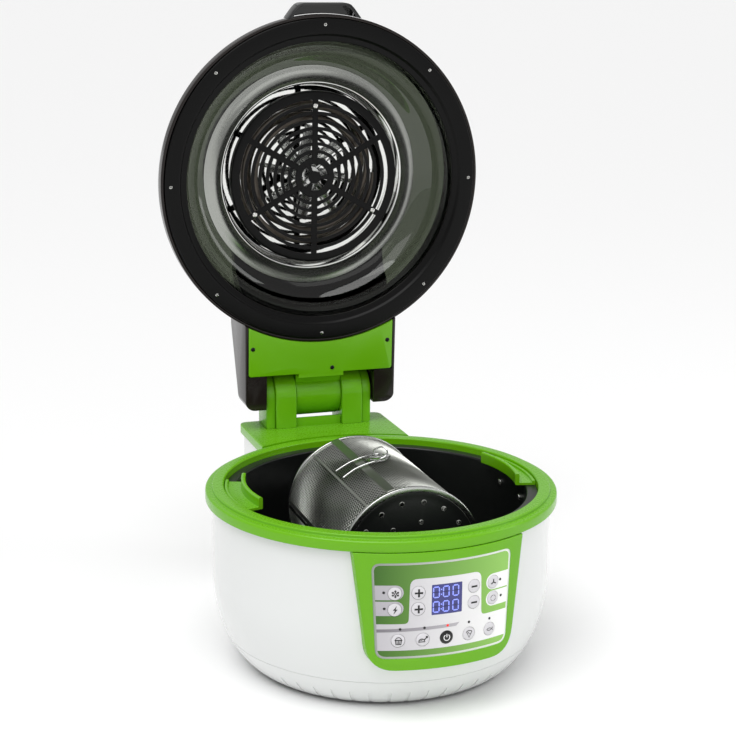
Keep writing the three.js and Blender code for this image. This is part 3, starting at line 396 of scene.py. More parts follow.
def maths(tree, operation, first, second=0.0, third=0.0):
    """The result of a Math node."""
    node = node_of(tree, "ShaderNodeMath", operation=operation)
    return feed(tree, node, at0=first, at1=second, at2=third).outputs[0]


def mix_colour(tree, amount, first, second):
    """A colour between two others."""
    node = node_of(tree, "ShaderNodeMix", data_type="RGBA")
    return feed(tree, node, at0=amount, at6=first, at7=second).outputs[2]


moulded, given, out = group(
    "moulded",
    [("Color", "Color"), ("Tone", "Float"), ("Roughness", "Float"), ("Uneven", "Float"), ("Grain", "Float")],
    [("Color", "Color"), ("Roughness", "Float"), ("Height", "Float")])
spot = moulded.nodes.new("ShaderNodeTexCoord").outputs["Object"]
slow = add(moulded, "ShaderNodeTexNoise", Vector=spot, Scale=9.0, Detail=3.0)
fine = add(moulded, "ShaderNodeTexNoise", Vector=spot, Scale=given.outputs["Grain"], Detail=2.0)
lift = maths(moulded, "MULTIPLY_ADD", maths(moulded, "SUBTRACT", slow.outputs["Fac"], 0.5),
               given.outputs["Tone"], 1.0)
shade = moulded.nodes.new("ShaderNodeVectorMath")
shade.operation = "SCALE"
feed(moulded, shade, at0=given.outputs["Color"])
moulded.links.new(lift, shade.inputs["Scale"])
moulded.links.new(shade.outputs[0], out.inputs["Color"])
moulded.links.new(
    maths(moulded, "MULTIPLY_ADD", maths(moulded, "SUBTRACT", fine.outputs["Fac"], 0.5),
            given.outputs["Uneven"], given.outputs["Roughness"]), out.inputs["Roughness"])
moulded.links.new(fine.outputs["Fac"], out.inputs["Height"])
print("moulded:", len(moulded.nodes), "nodes")

# %% Shared effect: handled surface
handled, given, out = group(
    "handled",
    [("Color", "Color"), ("Roughness", "Float"), ("Edge Color", "Color"), ("Edges", "Float"),
     ("Dust", "Float")],
    [("Color", "Color"), ("Roughness", "Float")])
geometry = handled.nodes.new("ShaderNodeNewGeometry")
spot = handled.nodes.new("ShaderNodeTexCoord").outputs["Object"]
patchy = add(handled, "ShaderNodeTexNoise", Vector=spot, Scale=38.0, Detail=4.0).outputs["Fac"]
ridge = maths(handled, "MULTIPLY", maths(handled, "SUBTRACT", geometry.outputs["Pointiness"], 0.53), 9.0)
ridge = maths(handled, "MULTIPLY", maths(handled, "MAXIMUM", ridge, 0.0), patchy)
worn = maths(handled, "MINIMUM", maths(handled, "MULTIPLY", ridge, given.outputs["Edges"]), 1.0)
split = add(handled, "ShaderNodeSeparateXYZ", at0=geometry.outputs["Normal"])
facing_up = maths(handled, "MAXIMUM", maths(handled, "SUBTRACT", split.outputs["Z"], 0.6), 0.0)
film = maths(handled, "MULTIPLY", maths(handled, "MULTIPLY", facing_up, patchy), given.outputs["Dust"])
colour = mix_colour(handled, worn, given.outputs["Color"], given.outputs["Edge Color"])
handled.links.new(mix_colour(handled, film, colour, (0.62, 0.6, 0.56, 1)), out.inputs["Color"])
handled.links.new(maths(handled, "ADD", given.outputs["Roughness"], film), out.inputs["Roughness"])
print("handled:", len(handled.nodes), "nodes")


# %% A finish from its facts
def linear(code):
    """Linear colour from a screen colour such as 7EC433."""
    parts = [int(code[i:i + 2], 16) / 255 for i in (0, 2, 4)]
    return tuple(c / 12.92 if c <= 0.04045 else ((c + 0.055) / 1.055) ** 2.4 for c in parts) + (1.0,)


def finish_of(name, code, rough, edge="", metal=0.0, tone=0.12, uneven=0.06, grain=600.0, bump=0.02,
              edges=0.18, dust=0.08, **sockets):
    """A material: base colour and roughness through both shared effects, the rest set on the shader."""
    material = bpy.data.materials.new(name)
    material.use_nodes = True
    tree = material.node_tree
    shader = tree.nodes["Principled BSDF"]
    surface = tree.nodes.new("ShaderNodeGroup")
    surface.node_tree = moulded
    feed(tree, surface, Color=linear(code), Tone=tone, Roughness=rough, Uneven=uneven, Grain=grain)
    use = tree.nodes.new("ShaderNodeGroup")
    use.node_tree = handled
    feed(tree, use, Color=surface.outputs["Color"], Roughness=surface.outputs["Roughness"],
         Edge_Color=linear(edge or code), Edges=edges, Dust=dust)
    relief = add(tree, "ShaderNodeBump", Height=surface.outputs["Height"],
                  Strength=bump, Distance=0.0005)
    feed(tree, shader, Base_Color=use.outputs["Color"], Roughness=use.outputs["Roughness"],
         Normal=relief.outputs["Normal"], Metallic=metal)
    for key, value in sockets.items():
        shader.inputs[key.replace("_", " ")].default_value = value
    return material


white = finish_of("white_gloss", "E2E4E3", 0.16, "FFFFFF", tone=0.03, Coat_Weight=0.4, Coat_Roughness=0.05)
green = finish_of("lime_green", "69B008", 0.26, "A9E84E", tone=0.08, edges=0.25,
                  Specular_IOR_Level=0.3, Coat_Weight=0.12, Coat_Roughness=0.1)
brown_black = finish_of("brown_black_gloss", "1A1412", 0.2, "5A504A", Coat_Weight=0.15, Coat_Roughness=0.08,
                        Specular_IOR_Level=0.22)
gloss_black = finish_of("gloss_black", "0C0C0D", 0.12, "45474A", Coat_Weight=0.25, Coat_Roughness=0.05)
satin_black = finish_of("satin_black", "080808", 0.3, "4A4B4C", bump=0.12, grain=1400.0,
                        Specular_IOR_Level=0.14)
rubber = finish_of("rubber", "161616", 0.75, "3A3A3A", bump=0.25, grain=1800.0)
steel = finish_of("bright_steel", "C9CAC8", 0.22, "FFFFFF", metal=1.0, tone=0.25, uneven=0.2, bump=0.05)
chrome = finish_of("chrome", "E6E7E4", 0.05, "FFFFFF", metal=1.0, tone=0.06, uneven=0.03, dust=0.0)
coated = finish_of("non_stick_coat", "191B1A", 0.3, "6A6C69", metal=0.25, tone=0.5, bump=0.18, grain=2200.0)
print("finishes:", len(bpy.data.materials))

# %% [markdown]
# ## A ring of equal pieces, by Geometry Nodes
# Screws round the lid, slots in the grille, vents in the foot ring, holes in the drum's ends: they are
# all one piece repeated round an axis. The tree puts Count points on the origin, turns each by its
# share of a circle, sets the piece on it, and ends by making the copies real, because a copy that only
# points at its original is lost when the model leaves Blender.

# %% The ring tree
def new_tree(name, inputs):
    """A Geometry Nodes tree with an input geometry, named inputs and an output geometry."""
    tree = bpy.data.node_groups.new(name, "GeometryNodeTree")
    tree.interface.new_socket("Geometry", in_out="INPUT", socket_type="NodeSocketGeometry")
    for label, kind, value in inputs:
        socket = tree.interface.new_socket(label, in_out="INPUT", socket_type="NodeSocket" + kind)
        if value is not None:
            socket.default_value = value
    tree.interface.new_socket("Geometry", in_out="OUTPUT", socket_type="NodeSocketGeometry")
    return tree, tree.nodes.new("NodeGroupInput"), tree.nodes.new("NodeGroupOutput")


def repeat_round(tree, shape, count, first=0.0):
    """Nodes that repeat a shape round the Z axis, as real geometry."""
    spots = add(tree, "GeometryNodePoints", Count=count)
    index = tree.nodes.new("GeometryNodeInputIndex")
    share = maths(tree, "DIVIDE", 2 * math.pi, count)
    turn_of = add(tree, "ShaderNodeCombineXYZ", Z=maths(tree, "MULTIPLY_ADD", index.outputs[0], share, first))
    copies = add(tree, "GeometryNodeInstanceOnPoints",
                 Points=spots.outputs[0], Instance=shape, Rotation=turn_of.outputs[0])
    return add(tree, "GeometryNodeRealizeInstances", Geometry=copies.outputs[0]).outputs[0]


def dress(tree, shape, given, out):
    """Ends a tree: gives its geometry the material that was asked for."""
    dressed = add(tree, "GeometryNodeSetMaterial", Geometry=shape, Material=given.outputs["Material"])
    tree.links.new(dressed.outputs[0], out.inputs[0])


ring_tree, given, out = new_tree("ring_of_pieces", [
    ("Count", "Int", 8), ("Radius", "Float", 0.0), ("First Angle", "Float", 0.0),
    ("Material", "Material", None)])
arm = add(ring_tree, "ShaderNodeCombineXYZ", X=given.outputs["Radius"])
moved = add(ring_tree, "GeometryNodeTransform",
            Geometry=given.outputs["Geometry"], Translation=arm.outputs[0])
ring = repeat_round(ring_tree, moved.outputs[0], given.outputs["Count"], given.outputs["First Angle"])
dress(ring_tree, ring, given, out)


def grow(tree, mesh, **values):
    """Runs a tree on a drawn mesh with the named inputs and gives back plain geometry."""
    data = bpy.data.meshes.new("seed")
    mesh.to_mesh(data)
    mesh.free()
    seed = bpy.data.objects.new("seed", data)
    bpy.context.collection.objects.link(seed)
    tool = seed.modifiers.new("nodes", "NODES")
    tool.node_group = tree
    for item in tree.interface.items_tree:
        key = item.name.replace(" ", "_")
        if item.in_out == "INPUT" and key in values:
            tool[item.identifier] = values[key]
    seed.update_tag()
    bpy.context.view_layer.update()
    grown = bpy.data.meshes.new_from_object(seed.evaluated_get(bpy.context.evaluated_depsgraph_get()))
    seed.modifiers.remove(tool)
    result = bmesh.new()
    result.from_mesh(grown)
    bpy.data.meshes.remove(grown)
    bpy.data.objects.remove(seed)
    bpy.data.meshes.remove(data)
    return result


def ring_of(mesh, count, radius=0.0, first=0.0, material=None):
    """Equal copies of a drawn shape round the Z axis."""
    return grow(ring_tree, mesh, Count=count, Radius=radius, First_Angle=math.radians(first),
                Material=material or steel)


print("ring tree:", len(ring_tree.nodes), "nodes")

# %% [markdown]
# ## The housing
# The white housing is one moulding: a round belly that draws in towards the table, and a flat column
# behind that carries the hinge. A turned shell and a plate of the same wall are merged, then the inside
# is cut away. The white foot ring continues the same curve below a fine seam, and it has a row of
# shallow upright grooves round the front.

# %% Body curve
BODY_R, BELLY_Z, BELLY_DROP, BELLY_DEPTH = 158.8, 90, 92, 50
WALL = 2.7
SEAM_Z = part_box("base_ring")[1][2] / MM
FOOT_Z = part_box("base_ring")[0][2] / MM
COLUMN_X, COLUMN_Y = 74.9, 235.9


def belly(z):
    """The body's radius at a height."""
    drop = max(0.0, BELLY_Z - z) / BELLY_DROP
    return BODY_R - BELLY_DEPTH * (1 - math.sqrt(1 - drop * drop))


def belly_line(low, high, inset, steps=26):
    """Points up the body's side, evenly spaced in height."""
    line = []
    for i in range(steps + 1):
        z = low + (min(high, BELLY_Z) - low) * i / steps
        line.append((belly(z) - inset, z))
    if high > BELLY_Z:
        line.append((BODY_R - inset, high))
    return line


def body_block(low, high, inset):
    """The body as a solid between two heights, drawn in by an inset."""
    round_part = turned([(0, low)] + belly_line(low, high, inset) + [(0, high)])
    x, y = COLUMN_X - inset, COLUMN_Y - inset
    column = plate(mirrored([(x, 40, 0), (x, y, 10)], 6), "z", low, high)
    return merge(round_part, column)


def body_shell(low, high):
    """The body's wall between two heights, open above and below."""
    return cut(body_block(low, high, 0), body_block(low - 1, high + 1, WALL))


housing = body_shell(SEAM_Z + 0.3, RIM_TOP - 7)
finish("white_housing", housing, "base", white, ["outer_housing"], sharp=28)

# %% Foot ring with its grooves
GROOVES, GROOVE_DEPTH, GROOVE_HALF, GROOVE_TOP = 51, 0.9, 1.5, 20
FIRST_GROOVE, LAST_GROOVE_Y = -104.9, -62
outside = belly(GROOVE_TOP - 1) + 5
groove_line = [(belly(z) - GROOVE_DEPTH, z) for z in range(int(FOOT_Z) - 1, GROOVE_TOP, 2)]
groove_line += [(outside, GROOVE_TOP), (outside, FOOT_Z - 2)]
groove = plate(groove_line, "y", -GROOVE_HALF, GROOVE_HALF)
front_grooves = ring_of(groove, GROOVES, 0, FIRST_GROOVE)
rear = [vertex for vertex in front_grooves.verts if vertex.co.y > LAST_GROOVE_Y]
bmesh.ops.delete(front_grooves, geom=rear, context="VERTS")
foot_ring = cut(body_shell(FOOT_Z, SEAM_Z), front_grooves)
finish("foot_ring", foot_ring, "base", white, ["base_ring"], sharp=28)

# %% [markdown]
# ## The rim
# The green rim is the part a hand meets first. Its section is drawn once with generous corners: the
# raised land that the lid closes on, the ledge outside it, the skirt that laps the housing and the
# flange that carries the pot. Behind, it widens into the deck for the hinge.

# %% Rim and deck
RIM_R, LAND_R, OPEN_R = 165, 158.5, 147.5
SKIRT_Z, LEDGE_Z = RIM_TOP - 13, RIM_TOP - 3
section = curve_through([
    (OPEN_R, RIM_TOP, 1.6), (OPEN_R, SKIRT_Z + 2.6, 0.5), (OPEN_R - 3, SKIRT_Z + 2.6, 0.8),
    (OPEN_R - 3, SKIRT_Z - 0.5, 0.5), (OPEN_R + 3, SKIRT_Z - 0.5, 0.5), (OPEN_R + 3, RIM_TOP - 5.6, 0),
    (RIM_R - 2.8, RIM_TOP - 5.6, 0), (RIM_R - 2.8, SKIRT_Z, 0.4), (RIM_R, SKIRT_Z, 0.8),
    (RIM_R, LEDGE_Z, 2.6), (LAND_R, LEDGE_Z, 0.8), (LAND_R, RIM_TOP, 1.4)], 4)
rim = turned(section, 192)
DECK_X, DECK_Y = 78, 239
deck_line = mirrored([(DECK_X, 90, 0), (DECK_X, DECK_Y, 10)], 8)
deck = plate(deck_line, "z", RIM_TOP - 10, RIM_TOP, 1.4, 3)
deck = cut(deck, plate(round_plate(RIM_R - 3, 192), "z", RIM_TOP - 30, RIM_TOP + 9))
BARREL_X, WEB_FRONT, WEB_BACK, WEB_TOP = 24.2, 204.5, 208, RIM_TOP + 9
web_line = [(WEB_FRONT, RIM_TOP - 1), (WEB_BACK, RIM_TOP - 1), (WEB_BACK, WEB_TOP), (WEB_FRONT, WEB_TOP)]
rim = merge(rim, deck, plate(web_line, "x", -BARREL_X, BARREL_X, 0.6))
finish("green_rim", rim, "base", green, ["rim_ring"], sharp=30)

# %% [markdown]
# ## Hinge towers
# Two rounded towers hold the hinge pin, each with a slightly smaller cap outside it. The side view is
# an arch, so each is a plate with that outline and softened rims.

# %% Towers, caps and spring
def arch(radius, back, foot):
    """Side view of a tower: (y, z) points from the front foot over the top to the rear foot."""
    top = arc(radius, math.degrees(math.acos(back / radius)), 180, 24, HINGE_Y, HINGE_Z)
    return [(HINGE_Y + back, foot)] + top + [(HINGE_Y - radius, foot)]


for name, node, near, far, radius, back, edge in (
        ("tower_", "hinge_tower_", 24.8, 47, 26.5, 10.5, 1.2),
        ("cap_", "tower_cap_", 47.1, 57, 24, 8, 1.4)):
    for side, low, high in (("left", -far, -near), ("right", near, far)):
        arched = plate(arch(radius, back, RIM_TOP + 0.2), "x", low, high, edge, 3)
        finish(name + side, arched, "base", green, [node + side])


def wire(points, radius, sides=8, closed=False):
    """A round wire through points, its ends closed."""
    mesh = bmesh.new()
    rings = []
    side = None
    for i, here in enumerate(points):
        after = points[(i + 1) % len(points)] if closed or i + 1 < len(points) else here
        before = points[i - 1] if closed or i else here
        along = (after - before).normalized()
        if side is None:
            side = along.orthogonal().normalized()
        side = (side - along * side.dot(along)).normalized()
        other = along.cross(side)
        rings.append([mesh.verts.new(here + (side * math.cos(2 * math.pi * k / sides)
                                             + other * math.sin(2 * math.pi * k / sides)) * radius)
                      for k in range(sides)])
    for i in range(len(rings) if closed else len(rings) - 1):
        one, two = rings[i], rings[(i + 1) % len(rings)]
        for k in range(sides):
            m = (k + 1) % sides
            mesh.faces.new((one[k], one[m], two[m], two[k]))
    if not closed:
        mesh.faces.new(rings[0])
        mesh.faces.new(rings[-1])
    bmesh.ops.recalc_face_normals(mesh, faces=mesh.faces)
    return mesh


TURNS, SPRING_R, SPRING_LENGTH, SPRING_WIRE = 8, 9, 36, 1.35
winding = arc(SPRING_R, 0, 360 * TURNS, 160, HINGE_Y, HINGE_Z)
spring_line = [Vector((SPRING_LENGTH * (i / 160 - 0.5), y, z)) for i, (y, z) in enumerate(winding)]
finish("hinge_spring", wire(spring_line, SPRING_WIRE), "base", steel, ["lid_spring"])

# %% [markdown]
# ## The keypad
# A green frame stands out of the housing and narrows downwards. In it lies a printed foil, bent round
# a cylinder of its own. Everything printed is drawn flat, in width and height, as a very thin plate at
# its own distance from the axis, then sliced upright and bent, so print keeps crisp edges at any zoom.
# The foil and the fields on it have a hole at each key, so that a pressed key has room to sink.

# %% Bending a flat drawing round the keypad's cylinder
PANEL_R, PANEL_REACH = 165.2, 84
PANEL_TURN = math.radians(1.7)


def on_panel(mesh, slices=4):
    """Bends a plate drawn in X and Z, whose -Y is the distance from the pot's axis, and turns it."""
    for x in range(-PANEL_REACH, PANEL_REACH + 1, slices):
        geometry = mesh.verts[:] + mesh.edges[:] + mesh.faces[:]
        bmesh.ops.bisect_plane(mesh, geom=geometry, plane_co=(x, 0, 0), plane_no=(1, 0, 0), dist=1e-4)
    for vertex in mesh.verts:
        vertex.co.y = -math.sqrt(vertex.co.y ** 2 - vertex.co.x ** 2)
    mesh.transform(Matrix.Rotation(PANEL_TURN, 4, "Z"))
    return mesh


def flat_print(outline, level, thickness):
    """A print still lying flat: a thin plate whose face is a level above the foil."""
    return plate(outline, "y", -(PANEL_R + level), -(PANEL_R + level - thickness))


def printed(outline, level, slices=4, thickness=0.25):
    """A print bent round the keypad."""
    return on_panel(flat_print(outline, level, thickness), slices)


frame_line = mirrored([(79.5, 157.5, 1), (66.5, 50.5, 22)], 8)
window_line = mirrored([(65.5, 149, 8), (61.5, 61.5, 9)], 6)
FRAME_R, RECESS_R = 166, 161.2
keypad_frame = on_panel(plate(frame_line, "y", -FRAME_R, -140, 2.4, 4))
recess = on_panel(plate(window_line, "y", -175, -RECESS_R))
keypad_frame = cut(keypad_frame, recess, body_block(FOOT_Z, RIM_TOP, -0.2))
finish("keypad_frame", keypad_frame, "base", green, ["control_bezel"], sharp=30)


# %% [markdown]
# ## Print on the foil
# Each print is painted darker on the left and lighter on the right across the keypad. This is painted shade
# and painted reflection of the light on the glossy foil, not part of the print. A gradient on the X
# coordinate gives that, and it enters the same shared effects as every other finish.

# %% Print finishes
def painted_reflection_across(name, left, right, rough=0.22, **sockets):
    """A printed finish with painted shade and reflection: its colour runs dark to light from left to right
    over the keypad.
    """
    material = finish_of(name, left, rough, tone=0.02, dust=0.1, edges=0.0, bump=0.03, **sockets)
    tree = material.node_tree
    surface = next(n for n in tree.nodes if n.type == "GROUP" and n.node_tree == moulded)
    coordinate = tree.nodes.new("ShaderNodeTexCoord")
    split = add(tree, "ShaderNodeSeparateXYZ", at0=coordinate.outputs["Object"])
    along = node_of(tree, "ShaderNodeMapRange")
    feed(tree, along, Value=split.outputs["X"], From_Min=-0.06, From_Max=0.062)
    feed(tree, surface, Color=mix_colour(tree, along.outputs[0], linear(left), linear(right)))
    return material


# each finish below is its own print colour with painted shade on the left and a painted reflection on the
# right
silver = painted_reflection_across("silver_line", "9FA39E", "FBFCFA", 0.25)
print_green = painted_reflection_across("print_green", "2F6200", "93CB5C")
print_white = painted_reflection_across("print_white", "BFBCC2", "FDFDFC")
print_grey = painted_reflection_across("print_grey", "77737A", "D6D3D8")
pill_left = painted_reflection_across("pill_grey", "B2AFB5", "D9D7DC")
pill_right = painted_reflection_across("pill_white", "E3E3E3", "FCFDFB")
ink = finish_of("ink_black", "0B0B0C", 0.35, bump=0.02, dust=0.0)
key_grey = finish_of("key_grey", "DAD8DC", 0.35, "FFFFFF", tone=0.04, bump=0.04)
key_black = finish_of("key_black", "0C0C0D", 0.3, "55565A", bump=0.04)
print("print finishes ready")

# %% Holes for the keys
KEY_HOLE_R = 6.2
keys = {}
for node in sorted(frame["nodes"]):
    if node.startswith("button_"):
        axis = joints[node + "_press"]["axis"]
        keys[node] = math.atan2(-axis[0], axis[1]), centre(node).z / MM
key_holes = []
for angle, height in keys.values():
    key_turn = angle - PANEL_TURN
    key_holes.append([(PANEL_R * math.sin(key_turn) + x * math.cos(key_turn), height + z)
                      for x, z in round_plate(KEY_HOLE_R, 28)])
print("holes for keys:", len(key_holes))


def punched(outline, level, thickness=0.25):
    """A print like the others, with a round hole for each key to sink into."""
    holes = [plate(hole, "y", -(PANEL_R + 4), -(PANEL_R - 6)) for hole in key_holes]
    return on_panel(cut(flat_print(outline, level, thickness), join(*holes)))


# %% Foil and fields
foil = punched(window_line, -0.02, 2.6)
finish("foil", foil, "base", silver, ["control_panel"])
FIELD_TOP, FIELD_FOOT = (63.2, 146.8), (59.4, 63.6)
field = mirrored([(*FIELD_TOP, 6), (*FIELD_FOOT, 7)], 6)
finish("green_field", punched(field, 0.12), "base", print_green)


def side_x(z):
    """Half width of the printed field at a height."""
    share = (z - FIELD_FOOT[1]) / (FIELD_TOP[1] - FIELD_FOOT[1])
    return FIELD_FOOT[0] + (FIELD_TOP[0] - FIELD_FOOT[0]) * share


STEP_Z, STRIP_Z = 93.5, 69.2
main_field = mirrored([
    (33, 134, 7), (34, STEP_Z, 4), (side_x(STEP_Z), STEP_Z, 0), (side_x(STRIP_Z), STRIP_Z, 0)], 5)
finish("main_field", punched(main_field, 0.24), "base", print_white)
bar = [(-side_x(88), 88.8), (12, 90.6), (9, 87.6), (-side_x(86), 86)]
finish("grey_bar", punched(bar, 0.34), "base", print_grey)


def pill(side, low, high, inner):
    """A key field that starts at the foil's edge and ends in a half round towards the middle."""
    middle, half = (low + high) / 2, (high - low) / 2
    end = [(side * (inner + half - x), z) for x, z in arc(half, -90, 90, 12, 0, middle)]
    return [(side * side_x(low), low)] + end + [(side * side_x(high), high)]


for name, side, low, high, material in (
        ("frost", -1, 115.6, 128.8, pill_left), ("bolt", -1, 101.2, 114.2, pill_left),
        ("fan", 1, 114.4, 129, pill_right), ("lamp", 1, 99.4, 113.2, pill_right)):
    finish("field_" + name, punched(pill(side, low, high, 38.5), 0.26), "base", material)

# %% [markdown]
# ## Signal lamps and display
# Nine of the keys have a tiny lamp beside or above them, one of them lit red. The display is a dark blue
# window with two rows of lit digits made of seven bars each.

# %% Lamps
lit_red = finish_of("lit_red", "D8180C", 0.3, bump=0.0,
                    Emission_Color=(0.9, 0.03, 0.02, 1), Emission_Strength=0.6)
lamp_spots = [(-55.1, 122.4), (-54.5, 107.8), (53.6, 121.9), (54.8, 106.8),
              (-41.2, 88.8), (-20.2, 89), (0.9, 89.1), (21.5, 89), (42.8, 88)]
LIT_LAMP = 7
for number, (x, z) in enumerate(lamp_spots, 1):
    dot = printed(round_plate(1.15, 16, x, z), 0.44)
    finish("signal_%d" % number, dot, "base", lit_red if number == LIT_LAMP else ink)

# %% Display
glass_blue = finish_of("display_blue", "2A2C6E", 0.12, tone=0.1, bump=0.0, dust=0.05, edges=0.0,
                       Coat_Weight=0.6, Coat_Roughness=0.03,
                       Emission_Color=(0.012, 0.012, 0.12, 1), Emission_Strength=0.35)
digit_light = finish_of("digit_light", "8C98F0", 0.3, bump=0.0, dust=0.0, edges=0.0,
                        Emission_Color=(0.22, 0.27, 1.0, 1), Emission_Strength=0.62)
digit_dark = finish_of("digit_off", "23265C", 0.3, bump=0.0, dust=0.0, edges=0.0)
window = mirrored([(14.1, 127.6, 0.6), (14.1, 100.1, 0.6)], 3)
window = printed(window, 0.3, thickness=2.4)
finish("display_glass", window, "base", glass_blue, ["display_window"])

BAR_W, BAR_GAP = 1.0, 0.25
UNCUT = 30


def seven_bars(x, z, wide, tall):
    """Outlines of a digit's bars: the first six make a 0, the last is the middle bar."""
    half_w, half_t, gap = wide / 2, tall / 2, BAR_GAP

    def level_bar(height):
        """A lying bar with pointed ends."""
        reach, tip = half_w - BAR_W / 2 - gap, BAR_W / 2
        return [(x - reach, height - tip), (x + reach, height - tip), (x + reach + tip * 0.6, height),
                (x + reach, height + tip), (x - reach, height + tip), (x - reach - tip * 0.6, height)]

    def upright_bar(side, low, high):
        """A standing bar with pointed ends."""
        middle, tip = x + side * half_w, BAR_W / 2
        return [(middle, low), (middle + tip, low + tip), (middle + tip, high - tip), (middle, high),
                (middle - tip, high - tip), (middle - tip, low + tip)]

    lit = [level_bar(z + half_t), level_bar(z - half_t)]
    for side in (-1, 1):
        lit.append(upright_bar(side, z + gap, z + half_t - gap))
        lit.append(upright_bar(side, z - half_t + gap, z - gap))
    return lit, level_bar(z)


for row, z in (("time", 120.6), ("heat", 107.2)):
    lit_bars, dark_bars = [], []
    for x in (-10, -1, 8):
        bars, middle = seven_bars(x, z, 5.2, 9.4)
        lit_bars += bars
        dark_bars.append(middle)
    for height in (z + 2.2, z - 2.2):
        lit_bars.append(round_plate(0.6, 10, -5.4, height))
    for name, bars, level, material in (("digits_", lit_bars, 0.42, digit_light),
                                        ("digits_off_", dark_bars, 0.4, digit_dark)):
        digits = join(*[printed(bar, level, UNCUT) for bar in bars])
        finish(name + row, digits, "base", material)

# %% [markdown]
# ## Keys
# Thirteen round keys stand a little out of the foil, each on its own spring and so each on its own
# body. The crown is turned once and set facing outwards at the key's angle. Its sign is a set of thin
# plates bent on the same cylinder, just above the crown.

# %% Signs for the keys
KEY_R, KEY_DEPTH, CROWN = 5.9, 2.5, 1.3


def stroke(points, width):
    """Outline of a line with that width, its corners mitred simply."""
    left, right = [], []
    for i, here in enumerate(points):
        here = Vector(here)
        before = Vector(points[max(0, i - 1)])
        after = Vector(points[min(len(points) - 1, i + 1)])
        across = (after - before).normalized().orthogonal() * width / 2
        left.append(tuple(here + across))
        right.append(tuple(here - across))
    return left + right[::-1]


def spokes(count, inner, outer, width, first=90):
    """Straight strokes that stand round the middle."""
    angles = [first + 360 * i / count for i in range(count)]
    return [stroke([polar(inner, angle), polar(outer, angle)], width) for angle in angles]


SIGNS = {
    "time_up": [stroke([(-3.6, 0), (3.6, 0)], 1.6), stroke([(0, -3.6), (0, 3.6)], 1.6)],
    "time_down": [stroke([(-2.9, 0), (2.9, 0)], 1.6)],
    "defrost": spokes(6, 0.6, 3.4, 0.8) + spokes(6, 1.9, 2.9, 1.7),
    "turbo": [[(1.2, 3.6), (-1.9, -0.3), (-0.2, -0.3), (-1.3, -3.6), (2.0, 0.6), (0.3, 0.6)]],
    "fan": spokes(3, 0.4, 2.8, 1.1, 90) + [round_plate(0.7, 12)],
    "lamp": [stroke(arc(2.6, 90 * i + 8, 90 * i + 82), 0.35) for i in range(4)],
    "power": [stroke(arc(2.7, 122, 418, 20), 0.75), stroke([(0, 0.2), (0, 3.2)], 0.8)],
    "fries": [stroke([(-3.2, 0.8), (3.2, 0.8)], 0.9),
              stroke([(-2.6, 0.8), (-2.1, -3.1), (2.1, -3.1), (2.6, 0.8)], 0.7),
              stroke(arc(2.4, 10, 170, 12, 0, 0.9), 0.6)]
             + [stroke([(x * 0.9, -2.8), (x * 1.1, 0.6)], 0.6) for x in (-1.2, 0, 1.2)],
    "meat": [stroke(arc(2.6, 12, 168, 14, -1.2, -1.6), 0.75), stroke([(-4.1, -1.7), (1.9, -1.7)], 0.75),
             stroke([(-2.4, -0.5), (-0.4, 0.2)], 0.6), stroke([(1.1, 0.1), (3, 1.9)], 0.9),
             round_plate(0.95, 12, 3.4, 2.4)],
    "pizza": [stroke([(-2.7, 2.2), (0, -3.2), (2.7, 2.2)], 0.6), stroke(arc(4.2, 52, 128, 8, 0, -1.2), 0.6),
              round_plate(0.55, 10, -0.7, 1), round_plate(0.55, 10, 0.7, 0)],
    "fish": [stroke(arc(3.4, 40, 140, 10, -0.4, -2.3), 0.5),
             stroke(arc(3.4, 220, 320, 10, -0.4, 2.3), 0.5),
             stroke([(2, 0), (3.6, 1.3)], 0.5), stroke([(2, 0), (3.6, -1.3)], 0.5)],
}
SIGNS["heat_up"], SIGNS["heat_down"] = SIGNS["time_up"], SIGNS["time_down"]
print("signs:", len(SIGNS))

# %% Keys and their signs
sign_white = finish_of("sign_white", "F2F2F2", 0.4, bump=0.0, edges=0.0)
for node, (angle, height) in keys.items():
    kind = node[len("button_"):]
    back, crown = PANEL_R - KEY_DEPTH, PANEL_R + CROWN
    key = along_y(turned(curve_through([
        (0, back, 0), (KEY_R, back, 0.2), (KEY_R, crown - 0.7, 0.7), (3.2, crown - 0.12, 0.8),
        (0, crown, 0)]), 40))
    key.transform(Matrix.Rotation(angle, 4, "Z") @ Matrix.Translation((0, 0, height)))
    black_key = kind == "power"
    finish("key_" + kind, key, node,
           key_black if black_key else key_grey, [node])
    x = PANEL_R * math.sin(angle - PANEL_TURN)
    drawn = [[(x + px, height + pz) for px, pz in outline] for outline in SIGNS[kind]]
    sign = join(*[printed(outline, CROWN + 0.05, UNCUT, 0.5) for outline in drawn])
    finish("sign_" + kind, sign, node, sign_white if black_key else ink)

# %% [markdown]
# ## The lid, drawn closed
# The lid is a glass bowl held between a black ring below and a dark shell above. All three are turned.
# The ring's section steps in twice, which gives the two fine dark circles round the glass. Their
# heights count from the plane where the closed lid rests.

# %% Ring and shell
LID_R, RING_R, LIP_R, LIP = 166, 162.4, 139.7, LID_PLANE + 5.5
ring_section = curve_through([
    (RING_R, LID_PLANE, 1.6), (RING_R, LID_PLANE + 5, 0.8), (151.4, LID_PLANE + 5, 0.3), (151.4, LIP, 0.3),
    (LIP_R, LIP, 0.3), (LIP_R, LIP - 1.8, 0.9), (145.5, LIP - 2.8, 0.8), (147.5, LID_PLANE, 1.2)])
finish("lid_ring", turned(ring_section, 192), "lid", satin_black, ["lid_ring"], on_lid=True)

